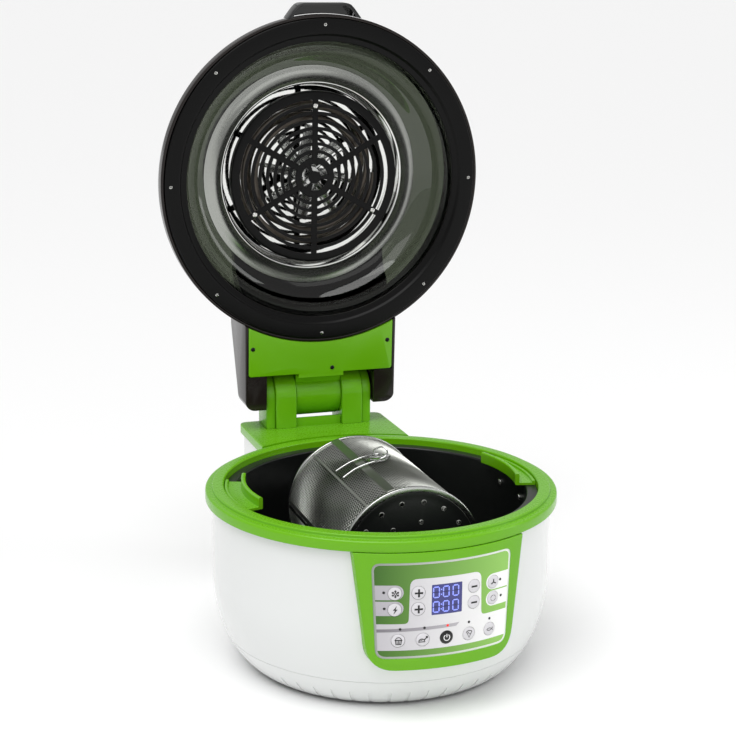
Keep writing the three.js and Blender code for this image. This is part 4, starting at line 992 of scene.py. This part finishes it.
SHELL_LOW, SHELL_WALL, SHELL_IN = LID_PLANE + 2, 3, 141.7
BEND = SHELL_LOW + 14
shell_section = curve_through([
    (LID_R - SHELL_WALL, SHELL_LOW, 0.8), (LID_R, SHELL_LOW, 1.2), (LID_R, BEND + 1, 4),
    (162.5, BEND + 7, 4), (152, BEND + 11.5, 4), (SHELL_IN, BEND + 14, 1),
    (SHELL_IN, BEND + 14 - SHELL_WALL, 1), (156, BEND + 7, 3), (160.6, BEND + 4, 3),
    (LID_R - SHELL_WALL, BEND - 1, 2)], 5)
shell = turned(shell_section, 192)
finish("lid_shell", shell, "lid", brown_black, ["lid_shell"], on_lid=True)

# %% [markdown]
# ## The glass bowl
# Smoked glass is a closed wall of real thickness with full transmission, so light is bent and tinted as
# it passes both faces. The bowl is a quarter ellipse in section, with a polished roll at the corner.

# %% Glass
smoked = finish_of("smoked_glass", "43493C", 0.03, tone=0.0, uneven=0.02, bump=0.0, edges=0.0, dust=0.0,
                   Transmission_Weight=1.0, IOR=1.5)
GLASS_RISE, GLASS_WALL, BOWL_R, GLASS_LOW = 42, 3, 108, LIP + 0.3
GLASS_TOP = GLASS_LOW + GLASS_RISE + GLASS_WALL
MOUTH_R, GLASS_EDGE_R = 98.6, 150.2


def bowl(grown, steps=20):
    """Points of the bowl's section from the lip up to its flat, grown outwards."""
    return [(BOWL_R + (LIP_R - BOWL_R + grown) * x, GLASS_LOW + (GLASS_RISE + grown) * z)
            for x, z in arc(1, 0, 90, steps)]


outside = [point for point in bowl(GLASS_WALL) if point[1] > GLASS_LOW + GLASS_WALL + 0.2]
glass_section = bowl(0) + [(MOUTH_R, GLASS_LOW + GLASS_RISE), (MOUTH_R, GLASS_TOP)] + outside[::-1] + [
    (LIP_R + 3.2, GLASS_LOW + GLASS_WALL), (GLASS_EDGE_R, GLASS_LOW + GLASS_WALL), (GLASS_EDGE_R, GLASS_LOW)]
finish("lid_glass", turned(glass_section, 192), "lid", smoked, ["lid_glass"], on_lid=True)

# %% [markdown]
# ## Heater: chrome can, coil, fan and grille
# Behind the grille a polished can throws the heat down. A tube heater of two turns lies in it, and a fan
# turns in the middle. The grille is one pressed pan. Its arc slots are one cutter per row, repeated six
# times by the ring tree between the spokes.

# %% Can and coil
MOUTH = LID_PLANE + 41
ROOF = MOUTH + 24
can_section = curve_through([
    (94.4, MOUTH + 0.4, 0.5), (96.4, MOUTH - 0.6, 0.9), (97.6, MOUTH + 1.2, 0.8), (96.2, MOUTH + 2.4, 0.4),
    (96.2, ROOF, 5), (7, ROOF, 0.5), (7, ROOF - 1.4, 0.4), (94.8, ROOF - 1.4, 5)], 5)
finish("heat_can", turned(can_section, 160), "lid", chrome, ["reflector"], on_lid=True)

COIL_R, COIL_STEP_IN, COIL_TUBE = 70, 12, 3.1
coil_points = []
for i in range(145):
    turns = i / 72
    radius = COIL_R - COIL_STEP_IN * min(1, max(0, (turns - 0.9) / 0.2))
    coil_points.append(Vector((*polar(radius, 360 * turns * 0.96), MOUTH + 11)))
hot_steel = finish_of("heater_tube", "6E675F", 0.35, "C9C2B8", metal=1.0, tone=0.5, uneven=0.3, bump=0.06)
coil = wire(coil_points, COIL_TUBE, 10)
finish("heater_tube", coil, "lid", hot_steel, ["heating_coil"], on_lid=True)

# %% Fan
BLADE_IN, BLADE_OUT, BLADE_SWEEP, BLADE_PITCH = 9, 46, 0.006, 0.35
blade_line = curve_through([
    (BLADE_IN, -0.9, 0), (BLADE_OUT, -0.5, 0.4), (BLADE_OUT, 0.5, 0.4), (BLADE_IN, 0.9, 0)], 2)
blade = plate(blade_line, "z", MOUTH + 2, MOUTH + 17, 0.3)
for vertex in blade.verts:
    reach = vertex.co.x - BLADE_IN
    vertex.co.y += BLADE_SWEEP * reach * reach + BLADE_PITCH * (vertex.co.z - MOUTH - 9)
blades = ring_of(blade, 8)
hub = turned(curve_through([(0, MOUTH + 3, 0), (11, MOUTH + 3, 2), (12, MOUTH + 20, 1), (4, MOUTH + 20, 0),
                            (4, ROOF - 0.3, 0), (0, ROOF - 0.3, 0)], 4), 48)
finish("fan", join(blades, hub), "fan", steel, ["fan_impeller"], on_lid=True)

# %% Grille
GRILLE_R, FACE = 88, LID_PLANE + 31.5
ROWS, HUB_R, EDGE_R, SPOKE_HALF, PAN_WALL = 8, 19, 81, 2.9, 1.5
pitch = (EDGE_R - HUB_R) / ROWS


def arc_slot(inner, outer, start, end, steps):
    """Outline of a curved slot."""
    return arc(outer, start, end, steps) + arc(inner, end, start, steps)


cutters = []
for row in range(ROWS):
    inner = HUB_R + row * pitch + pitch * 0.22
    outer = inner + pitch * 0.56
    half = math.degrees(SPOKE_HALF / inner)
    slot = plate(arc_slot(inner, outer, 30 + half, 90 - half, 6 + row), "z", FACE - 3, FACE + 5)
    cutters.append(ring_of(slot, 6))
cutters.append(ring_of(plate(arc_slot(6.5, 14, 12, 108, 8), "z", FACE - 3, FACE + 5), 3))
pan_section = curve_through([
    (0, FACE, 0), (GRILLE_R, FACE, 2.4), (GRILLE_R, FACE + 9, 0.5), (GRILLE_R - PAN_WALL, FACE + 9, 0.5),
    (GRILLE_R - PAN_WALL, FACE + PAN_WALL, 1.4), (0, FACE + PAN_WALL, 0)])
grille = cut(turned(pan_section, 144), join(*cutters))
finish("grille", grille, "lid", satin_black, ["grille"], on_lid=True)


# %% [markdown]
# ## Screws
# One pan-head screw with a cross recess is made once. The ring tree sets eight round the lid's ring and
# three in the grille. Single ones hold the arm.

# %% Screws
def screw(radius, height, up=1):
    """A pan-head screw that stands on the plane z = 0 and looks along +Z or -Z."""
    head = turned(curve_through([(0, -0.5, 0), (radius, -0.5, 0), (radius, height * 0.45, 0.4),
                                 (radius * 0.6, height, 0.8), (0, height, 0)], 3), 24)
    long, short = radius * 0.62, radius * 0.13
    bar = [(-long, -short), (long, -short), (long, short), (-long, short)]
    first = plate(bar, "z", height * 0.3, height + 1)
    second = plate([(y, -x) for x, y in bar], "z", height * 0.3, height + 1)
    head = cut(head, merge(first, second))
    if up < 0:
        head.transform(Matrix.Rotation(math.pi, 4, "X"))
    return head


screw_steel = finish_of("screw_steel", "D4D4D0", 0.2, "FFFFFF", metal=1.0, tone=0.2, bump=0.04)


def ring_screws(name, radius, height, count, at_radius, first):
    """Screws on a circle of the closed lid, looking down."""
    one = screw(radius, 1.1, up=-1)
    one.transform(Matrix.Translation((0, 0, height)))
    screws = ring_of(one, count, at_radius, first, screw_steel)
    finish(name, screws, "lid", screw_steel, on_lid=True)


# %% Polished trim between the can and the glass
trim = turned(curve_through([
    (96.6, MOUTH - 1, 0.4), (100, MOUTH + 2.5, 4), (106, MOUTH + 5, 5), (113, MOUTH + 5.6, 0.4),
    (113, MOUTH + 6.3, 0.4), (105.6, MOUTH + 5.8, 5), (99.2, MOUTH + 3.4, 4), (96.6, MOUTH, 0.4)], 5), 160)
trim_steel = finish_of("trim_steel", "A2A49F", 0.22, "E0E0E0", metal=1.0, tone=0.2, uneven=0.15, bump=0.03)
finish("glass_trim", trim, "lid", trim_steel, on_lid=True)

ring_screws("ring_screws", radius=2.0, height=LID_PLANE + 0.85, count=8, at_radius=156.4, first=-90)
ring_screws("grille_screws", radius=2.6, height=FACE + 0.1, count=3, at_radius=73, first=-90)

# %% [markdown]
# ## Motor cover, arm and handle
# Behind the glass a tall cap hides the motor. Air leaves it through a ring of slots. A box-shaped arm
# joins the lid to the hinge: a dark cover outside, and inside it the green plate with its barrel.

# %% Motor cover
TOP, COVER_R, COVER_WALL = GLASS_TOP + 56, 107, 3
COVER_LOW, COVER_IN = GLASS_TOP + 0.3, COVER_R - COVER_WALL
cover_section = curve_through([
    (COVER_R, COVER_LOW, 0.8), (COVER_R, TOP - 17, 9), (97, TOP - 4, 12), (60, TOP - 0.8, 8), (0, TOP, 0),
    (0, TOP - COVER_WALL, 0), (60, TOP - 0.8 - COVER_WALL, 8), (95, TOP - 7, 12),
    (COVER_IN, TOP - 19, 9), (COVER_IN, COVER_LOW, 0.8)], 6)
cover = turned(cover_section, 160)
louvre = plate(mirrored([(1.6, 0, 1.5), (1.6, 24, 1.5)], 3), "y", -6, 6)
louvre.transform(Matrix.Translation((0, 0, GLASS_TOP + 12)) @ Matrix.Rotation(math.pi / 2, 4, "Z"))
cover = cut(cover, ring_of(louvre, 48, COVER_R - 1))
finish("motor_cover", cover, "lid", gloss_black, ["motor_cover"], on_lid=True)


# %% Arm
def envelope(margin):
    """The lid's round top as a solid grown by a margin, to trim what meets it."""
    line = [(LID_R, LID_PLANE - 10), (LID_R, BEND + 1), (163, BEND + 6), (157, BEND + 10),
            (SHELL_IN, BEND + 14)]
    line = [(0, LID_PLANE - 10)] + [(radius + margin, z) for radius, z in line]
    line += [point for point in bowl(GLASS_WALL + margin) if point[1] > BEND + 15]
    line += [(COVER_R + margin, GLASS_TOP + margin), (COVER_R + margin, TOP + 90), (0, TOP + 90)]
    return turned(line, 96)


ARM_X, ARM_FRONT, ARM_BACK = 80.8, 60, HINGE_Y + 8.5
ARM_BOTTOM, ARM_TOP = LID_PLANE + 0.5, HINGE_Z + 33
CORNER_R = HINGE_Z - ARM_BOTTOM - 0.2
corner = [polar(CORNER_R, angle, HINGE_Y, HINGE_Z) for angle in (-88, -84, -80, -76, -73.8)]
side_view = [(ARM_FRONT, ARM_BOTTOM + 0.2)] + corner + [
    (ARM_BACK, ARM_TOP - 5), (ARM_BACK - 1.5, ARM_TOP - 1.5), (ARM_BACK - 5, ARM_TOP), (ARM_FRONT, ARM_TOP)]
arm = plate(side_view, "x", -ARM_X, ARM_X, 2.5, 3)


def box(x, y, z):
    """A plain block between two corners, for cutting."""
    return plate([(x[0], y[0]), (x[1], y[0]), (x[1], y[1]), (x[0], y[1])], "z", z[0], z[1])


PLATE_ROOM, TOWER_ROOM, PLATE_Y = 77.8, 58.2, 199.5
arm = cut(
    arm,
    box((-PLATE_ROOM, PLATE_ROOM), (50, PLATE_Y + 0.3), (ARM_BOTTOM - 5, ARM_BOTTOM + 5)),
    box((-TOWER_ROOM, TOWER_ROOM), (50, ARM_BACK + 5), (ARM_BOTTOM - 5, ARM_TOP - 3)),
    envelope(0.4))
CHEEK, ROUND, BEYOND = 60.6, 11, 90
slant = [(ARM_BACK - 86, ARM_TOP + 1), (ARM_BACK + 1, ARM_TOP + 1), (ARM_BACK + 1, ARM_TOP - 37)]
for side in (-1, 1):
    low, high = sorted((side * CHEEK, side * BEYOND))
    x, y = side * (ARM_X - ROUND), ARM_BACK - ROUND
    edge = box(sorted((x, side * BEYOND)), (y, ARM_BACK + 9), (100, 300))
    tip = cut(edge, plate(round_plate(ROUND, 48, x, y), "z", 90, 310))
    arm = cut(arm, plate(slant, "x", low, high), tip)
finish("arm_cover", arm, "lid", brown_black, ["arm_cover"], on_lid=True, sharp=30)

PLATE_Z, PLATE_WALL = LID_PLANE + 0.6, 3.7
BARREL_R, BORE_R = 24, 11.4
PLATE_X, FLANGE_Y = PLATE_ROOM - 0.4, 203.4
green_plate = plate(mirrored([(PLATE_X, 120, 0), (PLATE_X, PLATE_Y, 3)]),
                    "z", PLATE_Z, PLATE_Z + PLATE_WALL, 0.8)
flange = plate([(PLATE_Y - 8, PLATE_Z), (FLANGE_Y, PLATE_Z), (FLANGE_Y, PLATE_Z + 10), (214, PLATE_Z + 12.5),
                (HINGE_Y, HINGE_Z), (205, HINGE_Z), (PLATE_Y - 8, PLATE_Z + PLATE_WALL)],
               "x", -BARREL_X, BARREL_X)
barrel = plate(round_plate(BARREL_R, 64, HINGE_Y, HINGE_Z), "x", -BARREL_X, BARREL_X, 0.8)
bore = plate(round_plate(BORE_R, 40, HINGE_Y, HINGE_Z), "x", -BARREL_X - 1, BARREL_X + 1)
green_arm = cut(merge(green_plate, flange, barrel), bore, envelope(0.5))
finish("green_arm", green_arm, "lid", green, ["hinge_arm"], on_lid=True, sharp=30)

bolt_black = finish_of("bolt_black", "1A1B1C", 0.3, "B0B0B0", metal=0.6, bump=0.05)
for name, x, y in (("left", -73, 170), ("right", 72, 168.5), ("low", 12, 194.5)):
    one = screw(2.3, 1.2, up=-1)
    one.transform(Matrix.Translation((x, y, PLATE_Z + 0.35)))
    finish("plate_screw_" + name, one, "lid", bolt_black, on_lid=True)

# %% Handle
handle_line = mirrored([(25, -177, 4), (30, -173, 4), (39, -161, 3), (39, -150, 0)])
hollow_line = [(x * 0.92, y + 2.6 if y < -160 else y) for x, y in handle_line]
HANDLE_LOW = LID_PLANE + 2.5
handle = plate(handle_line, "z", HANDLE_LOW, HANDLE_LOW + 16, 2.2, 4)
handle = cut(handle, plate(hollow_line, "z", HANDLE_LOW - 2, HANDLE_LOW + 13.4),
             plate(round_plate(166.3, 160), "z", 0, 300))
finish("lid_handle", handle, "lid", gloss_black, ["lid_handle"], on_lid=True)

# %% [markdown]
# ## The pot
# The pot is turned from thin sheet with a rounded foot and a flat flange, dark inside and out. A hole in
# its rear wall takes the drive. Two green grips sit on the flange, each a short turned channel with a
# raised inner lip for the fingers.

# %% Pot
POT_R, POT_WALL, FLANGE_R = 138.9, 2.2, 147.2
POT_FLOOR, FLANGE_TOP = (corner[2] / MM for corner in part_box("inner_pot"))
inner = POT_R - POT_WALL
pot_section = curve_through([
    (0, POT_FLOOR, 0), (POT_R, POT_FLOOR, 20), (POT_R, FLANGE_TOP - 2, 1.2), (FLANGE_R, FLANGE_TOP - 2, 0.6),
    (FLANGE_R, FLANGE_TOP, 0.8), (inner, FLANGE_TOP, 2.2), (inner, POT_FLOOR + POT_WALL, 19),
    (0, POT_FLOOR + POT_WALL, 0)], 8)
pot = turned(pot_section, 192)
drive_hole = plate(round_plate(7.3, 40, 0, DRUM_Z), "y", POT_R - 12, POT_R + 12)
finish("pot", cut(pot, drive_hole), "pot", coated, ["inner_pot"], sharp=30)

GRIP_IN, GRIP_OUT, GRIP_TOP = 127.5, 146.9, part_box("pot_grip_left")[1][2] / MM
seat = FLANGE_TOP + 0.3
grip_section = curve_through([
    (GRIP_IN, seat, 1.2), (GRIP_OUT, seat, 0.8), (GRIP_OUT, seat + 4.2, 0.9),
    (GRIP_OUT - 3.2, seat + 4.2, 0.9), (GRIP_OUT - 3.2, seat + 2.2, 0.6),
    (GRIP_IN + 4, seat + 2.2, 0.8), (GRIP_IN + 4, GRIP_TOP, 1.6),
    (GRIP_IN, GRIP_TOP, 1.6)], 4)
for side, middle in (("right", 3), ("left", 177)):
    grip = turned(grip_section, 28, middle - 17.5, middle + 17.5)
    finish("grip_" + side, grip, "pot", green, ["pot_grip_" + side], sharp=40)

stud = turned(curve_through([(0, -1, 0), (3.4, -1, 0), (3.4, 1.2, 0.8), (0, 2, 0)], 4), 24)
stud.transform(Matrix.Rotation(-math.pi / 2, 4, "Y"))
studs = []
for angle, height in ((12, 149), (-6, 146.5), (168, 149), (-174, 146.5)):
    one = stud.copy()
    one.transform(Matrix.Rotation(math.radians(angle), 4, "Z")
                  @ Matrix.Translation((inner - 0.3, 0, height)))
    studs.append(one)
finish("pot_studs", join(*studs), "pot", screw_steel)

CRADLE_X, CRADLE_R, CRADLE_LOW, CRADLE_TOP = 14, 9.4, 104.5, 124.5
cradle_line = curve_through([
    (-CRADLE_X, CRADLE_LOW, 4), (CRADLE_X, CRADLE_LOW, 4), (CRADLE_X, CRADLE_TOP, 1.5),
    (CRADLE_R, CRADLE_TOP, 0.8)])
cradle_line += arc(CRADLE_R, -10, -160, 10, 0, DRUM_Z)
cradle_line += [(-CRADLE_R, CRADLE_TOP), (1 - CRADLE_X, CRADLE_TOP), (-CRADLE_X, CRADLE_TOP - 1)]
cradle = plate(cradle_line, "y", -136.2, -99.4, 0.6)
hollow = plate([(-9, -134.5), (9, -134.5), (9, -101), (-9, -101)], "z", 90, 112)
finish("cradle", cut(cradle, hollow), "pot", steel, ["drum_cradle"])

BUSH_R, BUSH_IN, BUSH_WAIST = 9, 5.3, 7.9
bush_section = curve_through([
    (BUSH_IN, 101, 0.4), (BUSH_R, 101, 1), (BUSH_R, 104, 0.6), (BUSH_WAIST, 104.6, 0.4),
    (BUSH_WAIST, 107.4, 0.4), (BUSH_R, 108, 0.6), (BUSH_R, 111, 1), (BUSH_IN, 111, 0.4)], 3)
finish("bush", along_y(turned(bush_section, 48), DRUM_Z), "bush", rubber, ["drum_bush"])

# %% [markdown]
# ## The drum's wire mesh, by Geometry Nodes
# The drum's wall is woven wire that winds round it both ways, so that its cells are diamonds. The tree
# draws one wire as a screw line, sweeps a small round section along it, repeats it round the axis, adds
# the same set wound the other way, and deletes what lies outside the asked sector. The wall takes the
# sector beside the door, and the door takes the rest.

# %% Wire tree
LAYER_STEP = 0.25
wire_tree, given, out = new_tree("woven_wire", [
    ("Wires", "Int", 120), ("Winding", "Float", 0.4), ("Radius", "Float", 66.0), ("Length", "Float", 168.0),
    ("Thickness", "Float", 0.3), ("From", "Float", 0.0), ("To", "Float", 3.0),
    ("Material", "Material", None)])
section = add(wire_tree, "GeometryNodeCurvePrimitiveCircle", Resolution=4, Radius=given.outputs["Thickness"])
layers = []
for reverse in (False, True):
    radius = maths(wire_tree, "ADD", given.outputs["Radius"], LAYER_STEP if reverse else -LAYER_STEP)
    line = add(wire_tree, "GeometryNodeCurveSpiral", Resolution=68, Rotations=given.outputs["Winding"],
               Start_Radius=radius, End_Radius=radius, Height=given.outputs["Length"], Reverse=reverse)
    tube = add(wire_tree, "GeometryNodeCurveToMesh", Curve=line.outputs[0],
                Profile_Curve=section.outputs[0], Fill_Caps=True)
    layers.append(repeat_round(wire_tree, tube.outputs[0], given.outputs["Wires"]))
both = wire_tree.nodes.new("GeometryNodeJoinGeometry")
for layer in layers:
    wire_tree.links.new(layer, both.inputs[0])
where = add(wire_tree, "ShaderNodeSeparateXYZ",
             at0=wire_tree.nodes.new("GeometryNodeInputPosition").outputs[0])
bearing = maths(wire_tree, "ARCTAN2", where.outputs["Y"], where.outputs["X"])
bearing = maths(wire_tree, "FLOORED_MODULO", bearing, 2 * math.pi)
early = maths(wire_tree, "LESS_THAN", bearing, given.outputs["From"])
late = maths(wire_tree, "GREATER_THAN", bearing, given.outputs["To"])
outside_sector = maths(wire_tree, "MAXIMUM", early, late)
kept = node_of(wire_tree, "GeometryNodeDeleteGeometry", domain="FACE")
feed(wire_tree, kept, Geometry=both.outputs[0], Selection=outside_sector)
dress(wire_tree, kept.outputs[0], given, out)
print("wire tree:", len(wire_tree.nodes), "nodes")

# %% [markdown]
# ## Drum
# Angles on the drum count from its top towards the left, as its door does. The drum is drawn standing
# on its front end and then laid down along its own axis.

# %% Drum wall and rims
DRUM_R, FRONT, BACK = 66, -89, 87
DOOR_START, DOOR_END = 17, 87
wire_steel = finish_of("wire_steel", "AEB0AA", 0.34, "FFFFFF", metal=1.0, tone=0.5, uneven=0.2, bump=0.0)


def lay_drum(mesh, low):
    """Turns a shape drawn about Z, its zero bearing on +X, so that Z runs to +Y and +X points up."""
    lying = Matrix(((0, -1, 0, 0), (0, 0, 1, 0), (1, 0, 0, 0), (0, 0, 0, 1)))
    mesh.transform(Matrix.Translation((0, low, DRUM_Z)) @ lying)
    return mesh


def wires(start, end):
    """Woven wire in a sector of the drum, in degrees from the top towards the left."""
    mesh = grow(wire_tree, bmesh.new(), Wires=96, Winding=0.4, Radius=DRUM_R - 0.5, Length=168.0,
                Thickness=0.44, From=math.radians(start), To=math.radians(end), Material=wire_steel)
    return lay_drum(mesh, FRONT + 4)


wall = join(wires(DOOR_END + 0.4, 359.9), wires(0, DOOR_START - 0.4))
finish("drum_wire", wall, "drum", wire_steel, ["drum_wall"])


def strip(inner_r, outer_r, start, end, low=FRONT + 3.6, high=BACK - 3.6, steps=10):
    """A bent metal strip along the drum."""
    return lay_drum(plate(arc_slot(inner_r, outer_r, start, end, steps), "z", 0, high - low, 0.15, 1), low)


frame_strips = join(strip(DRUM_R - 1.2, DRUM_R + 0.2, DOOR_START - 3.4, DOOR_START - 0.5),
                    strip(DRUM_R - 1.2, DRUM_R + 0.2, DOOR_END + 0.4, DOOR_END + 3.6))
finish("drum_frame", frame_strips, "drum", steel)
HOOP_IN, HOOP_OUT, HOOP_H = 62.3, 67.3, 3.4
for name, low in (("front", FRONT), ("rear", BACK - HOOP_H)):
    hoop = turned(curve_through([
        (HOOP_IN, 0, 0.4), (HOOP_OUT, 0, 1.2), (HOOP_OUT, HOOP_H, 1.2), (HOOP_IN, HOOP_H, 0.4)]), 120)
    finish("drum_rim_" + name, lay_drum(hoop, low), "drum", steel, ["drum_rim_" + name])

# %% Drum ends
END_R, SHEET = 62, 1.6
FAR_RING, NEAR_RING = (16, 53, 11.5), (8, 35, 78.6)


def hole_rings(mesh):
    """A shape at each hole of a drum end: sixteen near the edge, eight nearer the middle."""
    return join(ring_of(mesh.copy(), *FAR_RING), ring_of(mesh, *NEAR_RING))


hole = turned([(0, -20), (2.1, -20), (2.1, 20), (0, 20)], 16)
holes = hole_rings(hole)


def end_disc(bulge):
    """A dished disc that faces +Z; its rim lies at z = 0 and its middle stands out by the bulge."""
    return turned(curve_through([
        (0, bulge, 0), (END_R * 0.5, bulge * 0.8, 6), (END_R - 6, 0, 3), (END_R, 0, 0.4),
        (END_R, -SHEET, 0.4), (END_R - 6, -SHEET, 3), (END_R * 0.5, bulge * 0.8 - SHEET, 6),
        (0, bulge - SHEET, 0)], 6), 120)


front_disc = cut(end_disc(5), holes.copy())
stub = turned(curve_through([(0, 3, 0), (5, 3, 0), (5, 24, 1.2), (0, 24, 0)], 3), 40)
collar = turned(curve_through([(0, 3.4, 0), (11, 3.4, 0.6), (11, 7.4, 1.2), (0, 7.4, 0)], 3), 40)
front_end = merge(front_disc, stub, collar)
front_end.transform(Matrix.Translation((0, FRONT, DRUM_Z)) @ Matrix.Rotation(math.pi / 2, 4, "X"))
finish("drum_end_front", front_end, "drum", coated, ["drum_end_front"], sharp=30)

rear_disc = cut(end_disc(0), holes)
rear_disc.transform(Matrix.Translation((0, BACK - 0.5, DRUM_Z)) @ Matrix.Rotation(-math.pi / 2, 4, "X"))
fork = plate(mirrored([(11, DRUM_Z - 11, 2), (11, DRUM_Z + 11, 2)], 3), "y", BACK - 2, BACK + 15, 0.6)
SLOT, SLOT_TOP = 5.4, DRUM_Z + 5.4
groove = plate([(-SLOT, 112), (SLOT, 112), (SLOT, SLOT_TOP), (-SLOT, SLOT_TOP)], "y", BACK + 2.5, BACK + 40)
rear_end = merge(rear_disc, cut(fork, groove))
finish("drum_end_rear", rear_end, "drum", coated, ["drum_end_rear"], sharp=30)

# %% [markdown]
# ## Drum door and its latch
# The door is the same wire in a frame of bent strips. It hangs on the left and laps over the drum by a
# bright strip. The latch is a bent wire hinged on the door, with a sprung clip that grips the strip.

# %% Door
door_wire = wires(DOOR_START + 0.4, DOOR_END - 0.4)
inner_r, outer_r = DRUM_R - 1.1, DRUM_R + 0.2
door_frame = join(
    strip(DRUM_R + 0.3, DRUM_R + 1.6, DOOR_START - 3.4, DOOR_START + 3.4),
    strip(inner_r, outer_r, DOOR_START + 0.4, DOOR_START + 3.4),
    strip(inner_r, outer_r, DOOR_END - 3.6, DOOR_END - 0.4),
    strip(inner_r, outer_r, DOOR_START + 3.5, DOOR_END - 3.7, FRONT + 3.7, FRONT + 6.5, 30),
    strip(inner_r, outer_r, DOOR_START + 3.5, DOOR_END - 3.7, BACK - 6.5, BACK - 3.7, 30),
    strip(outer_r - 0.1, outer_r + 0.7, 38.2, 39.8))
finish("door", join(door_wire, door_frame), "door", wire_steel, ["drum_door"])

# %% Latch
LATCH_R = 69.6


def on_drum(angle, y, radius=LATCH_R):
    """A point on the drum at an angle from the top towards the left."""
    x, z = polar(radius, angle + 90, 0, DRUM_Z)
    return Vector((x, y, z))


def smooth_path(corners, steps=8):
    """A soft line through points."""
    points = []
    for i in range(len(corners) - 1):
        a, b = corners[max(0, i - 1)], corners[i]
        c, d = corners[i + 1], corners[min(len(corners) - 1, i + 2)]
        for k in range(steps):
            t = k / steps
            points.append(0.5 * (2 * b + (c - a) * t + (2 * a - 5 * b + 4 * c - d) * t * t
                                 + (3 * b - a - 3 * c + d) * t ** 3))
    return points + [corners[-1]]


LATCH_POINTS = ((36, -11), (24, -10), (12, -10), (0, -10), (-3, 0), (0, 10), (12, 10), (24, 10), (36, 11))
latch_path = smooth_path([on_drum(angle, y) for angle, y in LATCH_POINTS])
clip = strip(LATCH_R - 1.7, LATCH_R - 0.9, -3.0, 12, -6, 6)
clip_lip = lay_drum(plate(arc_slot(LATCH_R - 1.7, LATCH_R + 1.6, -3.4, -2.6, 2), "z", 0, 12, 0.2, 1), -6)
BOW_POINTS = ((9, -13, 70), (5, -18, 74), (-1, -17, 76), (-3, -11, 73), (1, -5, 71), (5, 1, 72), (3, 8, 75),
              (-3, 10, 76.5), (-6, 6, 74), (-4, 0, 71.5), (2, -2, 70.5), (8, 4, 70))
bow_path = smooth_path([on_drum(*point) for point in BOW_POINTS])
latch = join(wire(latch_path, 0.9, 10), wire(bow_path, 0.8, 10), clip, clip_lip)
finish("latch", latch, "latch", steel, ["door_latch"])

# %% Eyelets round the holes of the front end
eyelet = turned([(2.05, -0.25), (2.5, -0.25), (2.5, 0.15), (2.05, 0.35)], 20)
eyelets = hole_rings(eyelet)
for vertex in eyelets.verts:
    vertex.co.z += 3.1 if math.hypot(vertex.co.x, vertex.co.y) < 44 else 0.75
eyelets.transform(Matrix.Translation((0, FRONT, DRUM_Z)) @ Matrix.Rotation(math.pi / 2, 4, "X"))
finish("drum_eyelets", eyelets, "drum", wire_steel)

# %% [markdown]
# ## The pieces that keep their solids
# Some parts are simple enough that their solids already have the right shape: the base plate and feet
# below, the board and motors inside, the shafts of the drive. They only take their finish here.

# %% Finishes for the kept solids
motor_steel = finish_of("motor_steel", "8E9092", 0.34, "DADADA", metal=1.0, tone=0.4, bump=0.08)
liner_steel = finish_of("liner_steel", "54565A", 0.3, "A0A0A0", metal=0.9, tone=0.4, bump=0.1)
base_black = finish_of("base_black", "1A1A1B", 0.5, "4C4C4C", bump=0.25, grain=1500.0)
board_green = finish_of("board_green", "1E4A30", 0.4, "B58A4A", tone=0.4, bump=0.3, grain=500.0)
KEPT = {
    "base_plate": base_black, "cord_gland": rubber, "foot_front": rubber, "foot_rear": rubber,
    "foot_left": rubber, "foot_right": rubber, "control_board": board_green, "drive_motor": motor_steel,
    "fan_motor": motor_steel, "pot_liner": liner_steel, "drive_spindle": steel, "drive_coupler": steel,
    "hinge_pin": steel,
}
for node, material in KEPT.items():
    for slot in bpy.data.objects[node].material_slots:
        slot.material = material
print("kept solids:", len(KEPT))

# %% [markdown]
# ## The last step
# The number of finished pieces is printed.

# %% Pieces made
print("pieces made:", len(made))
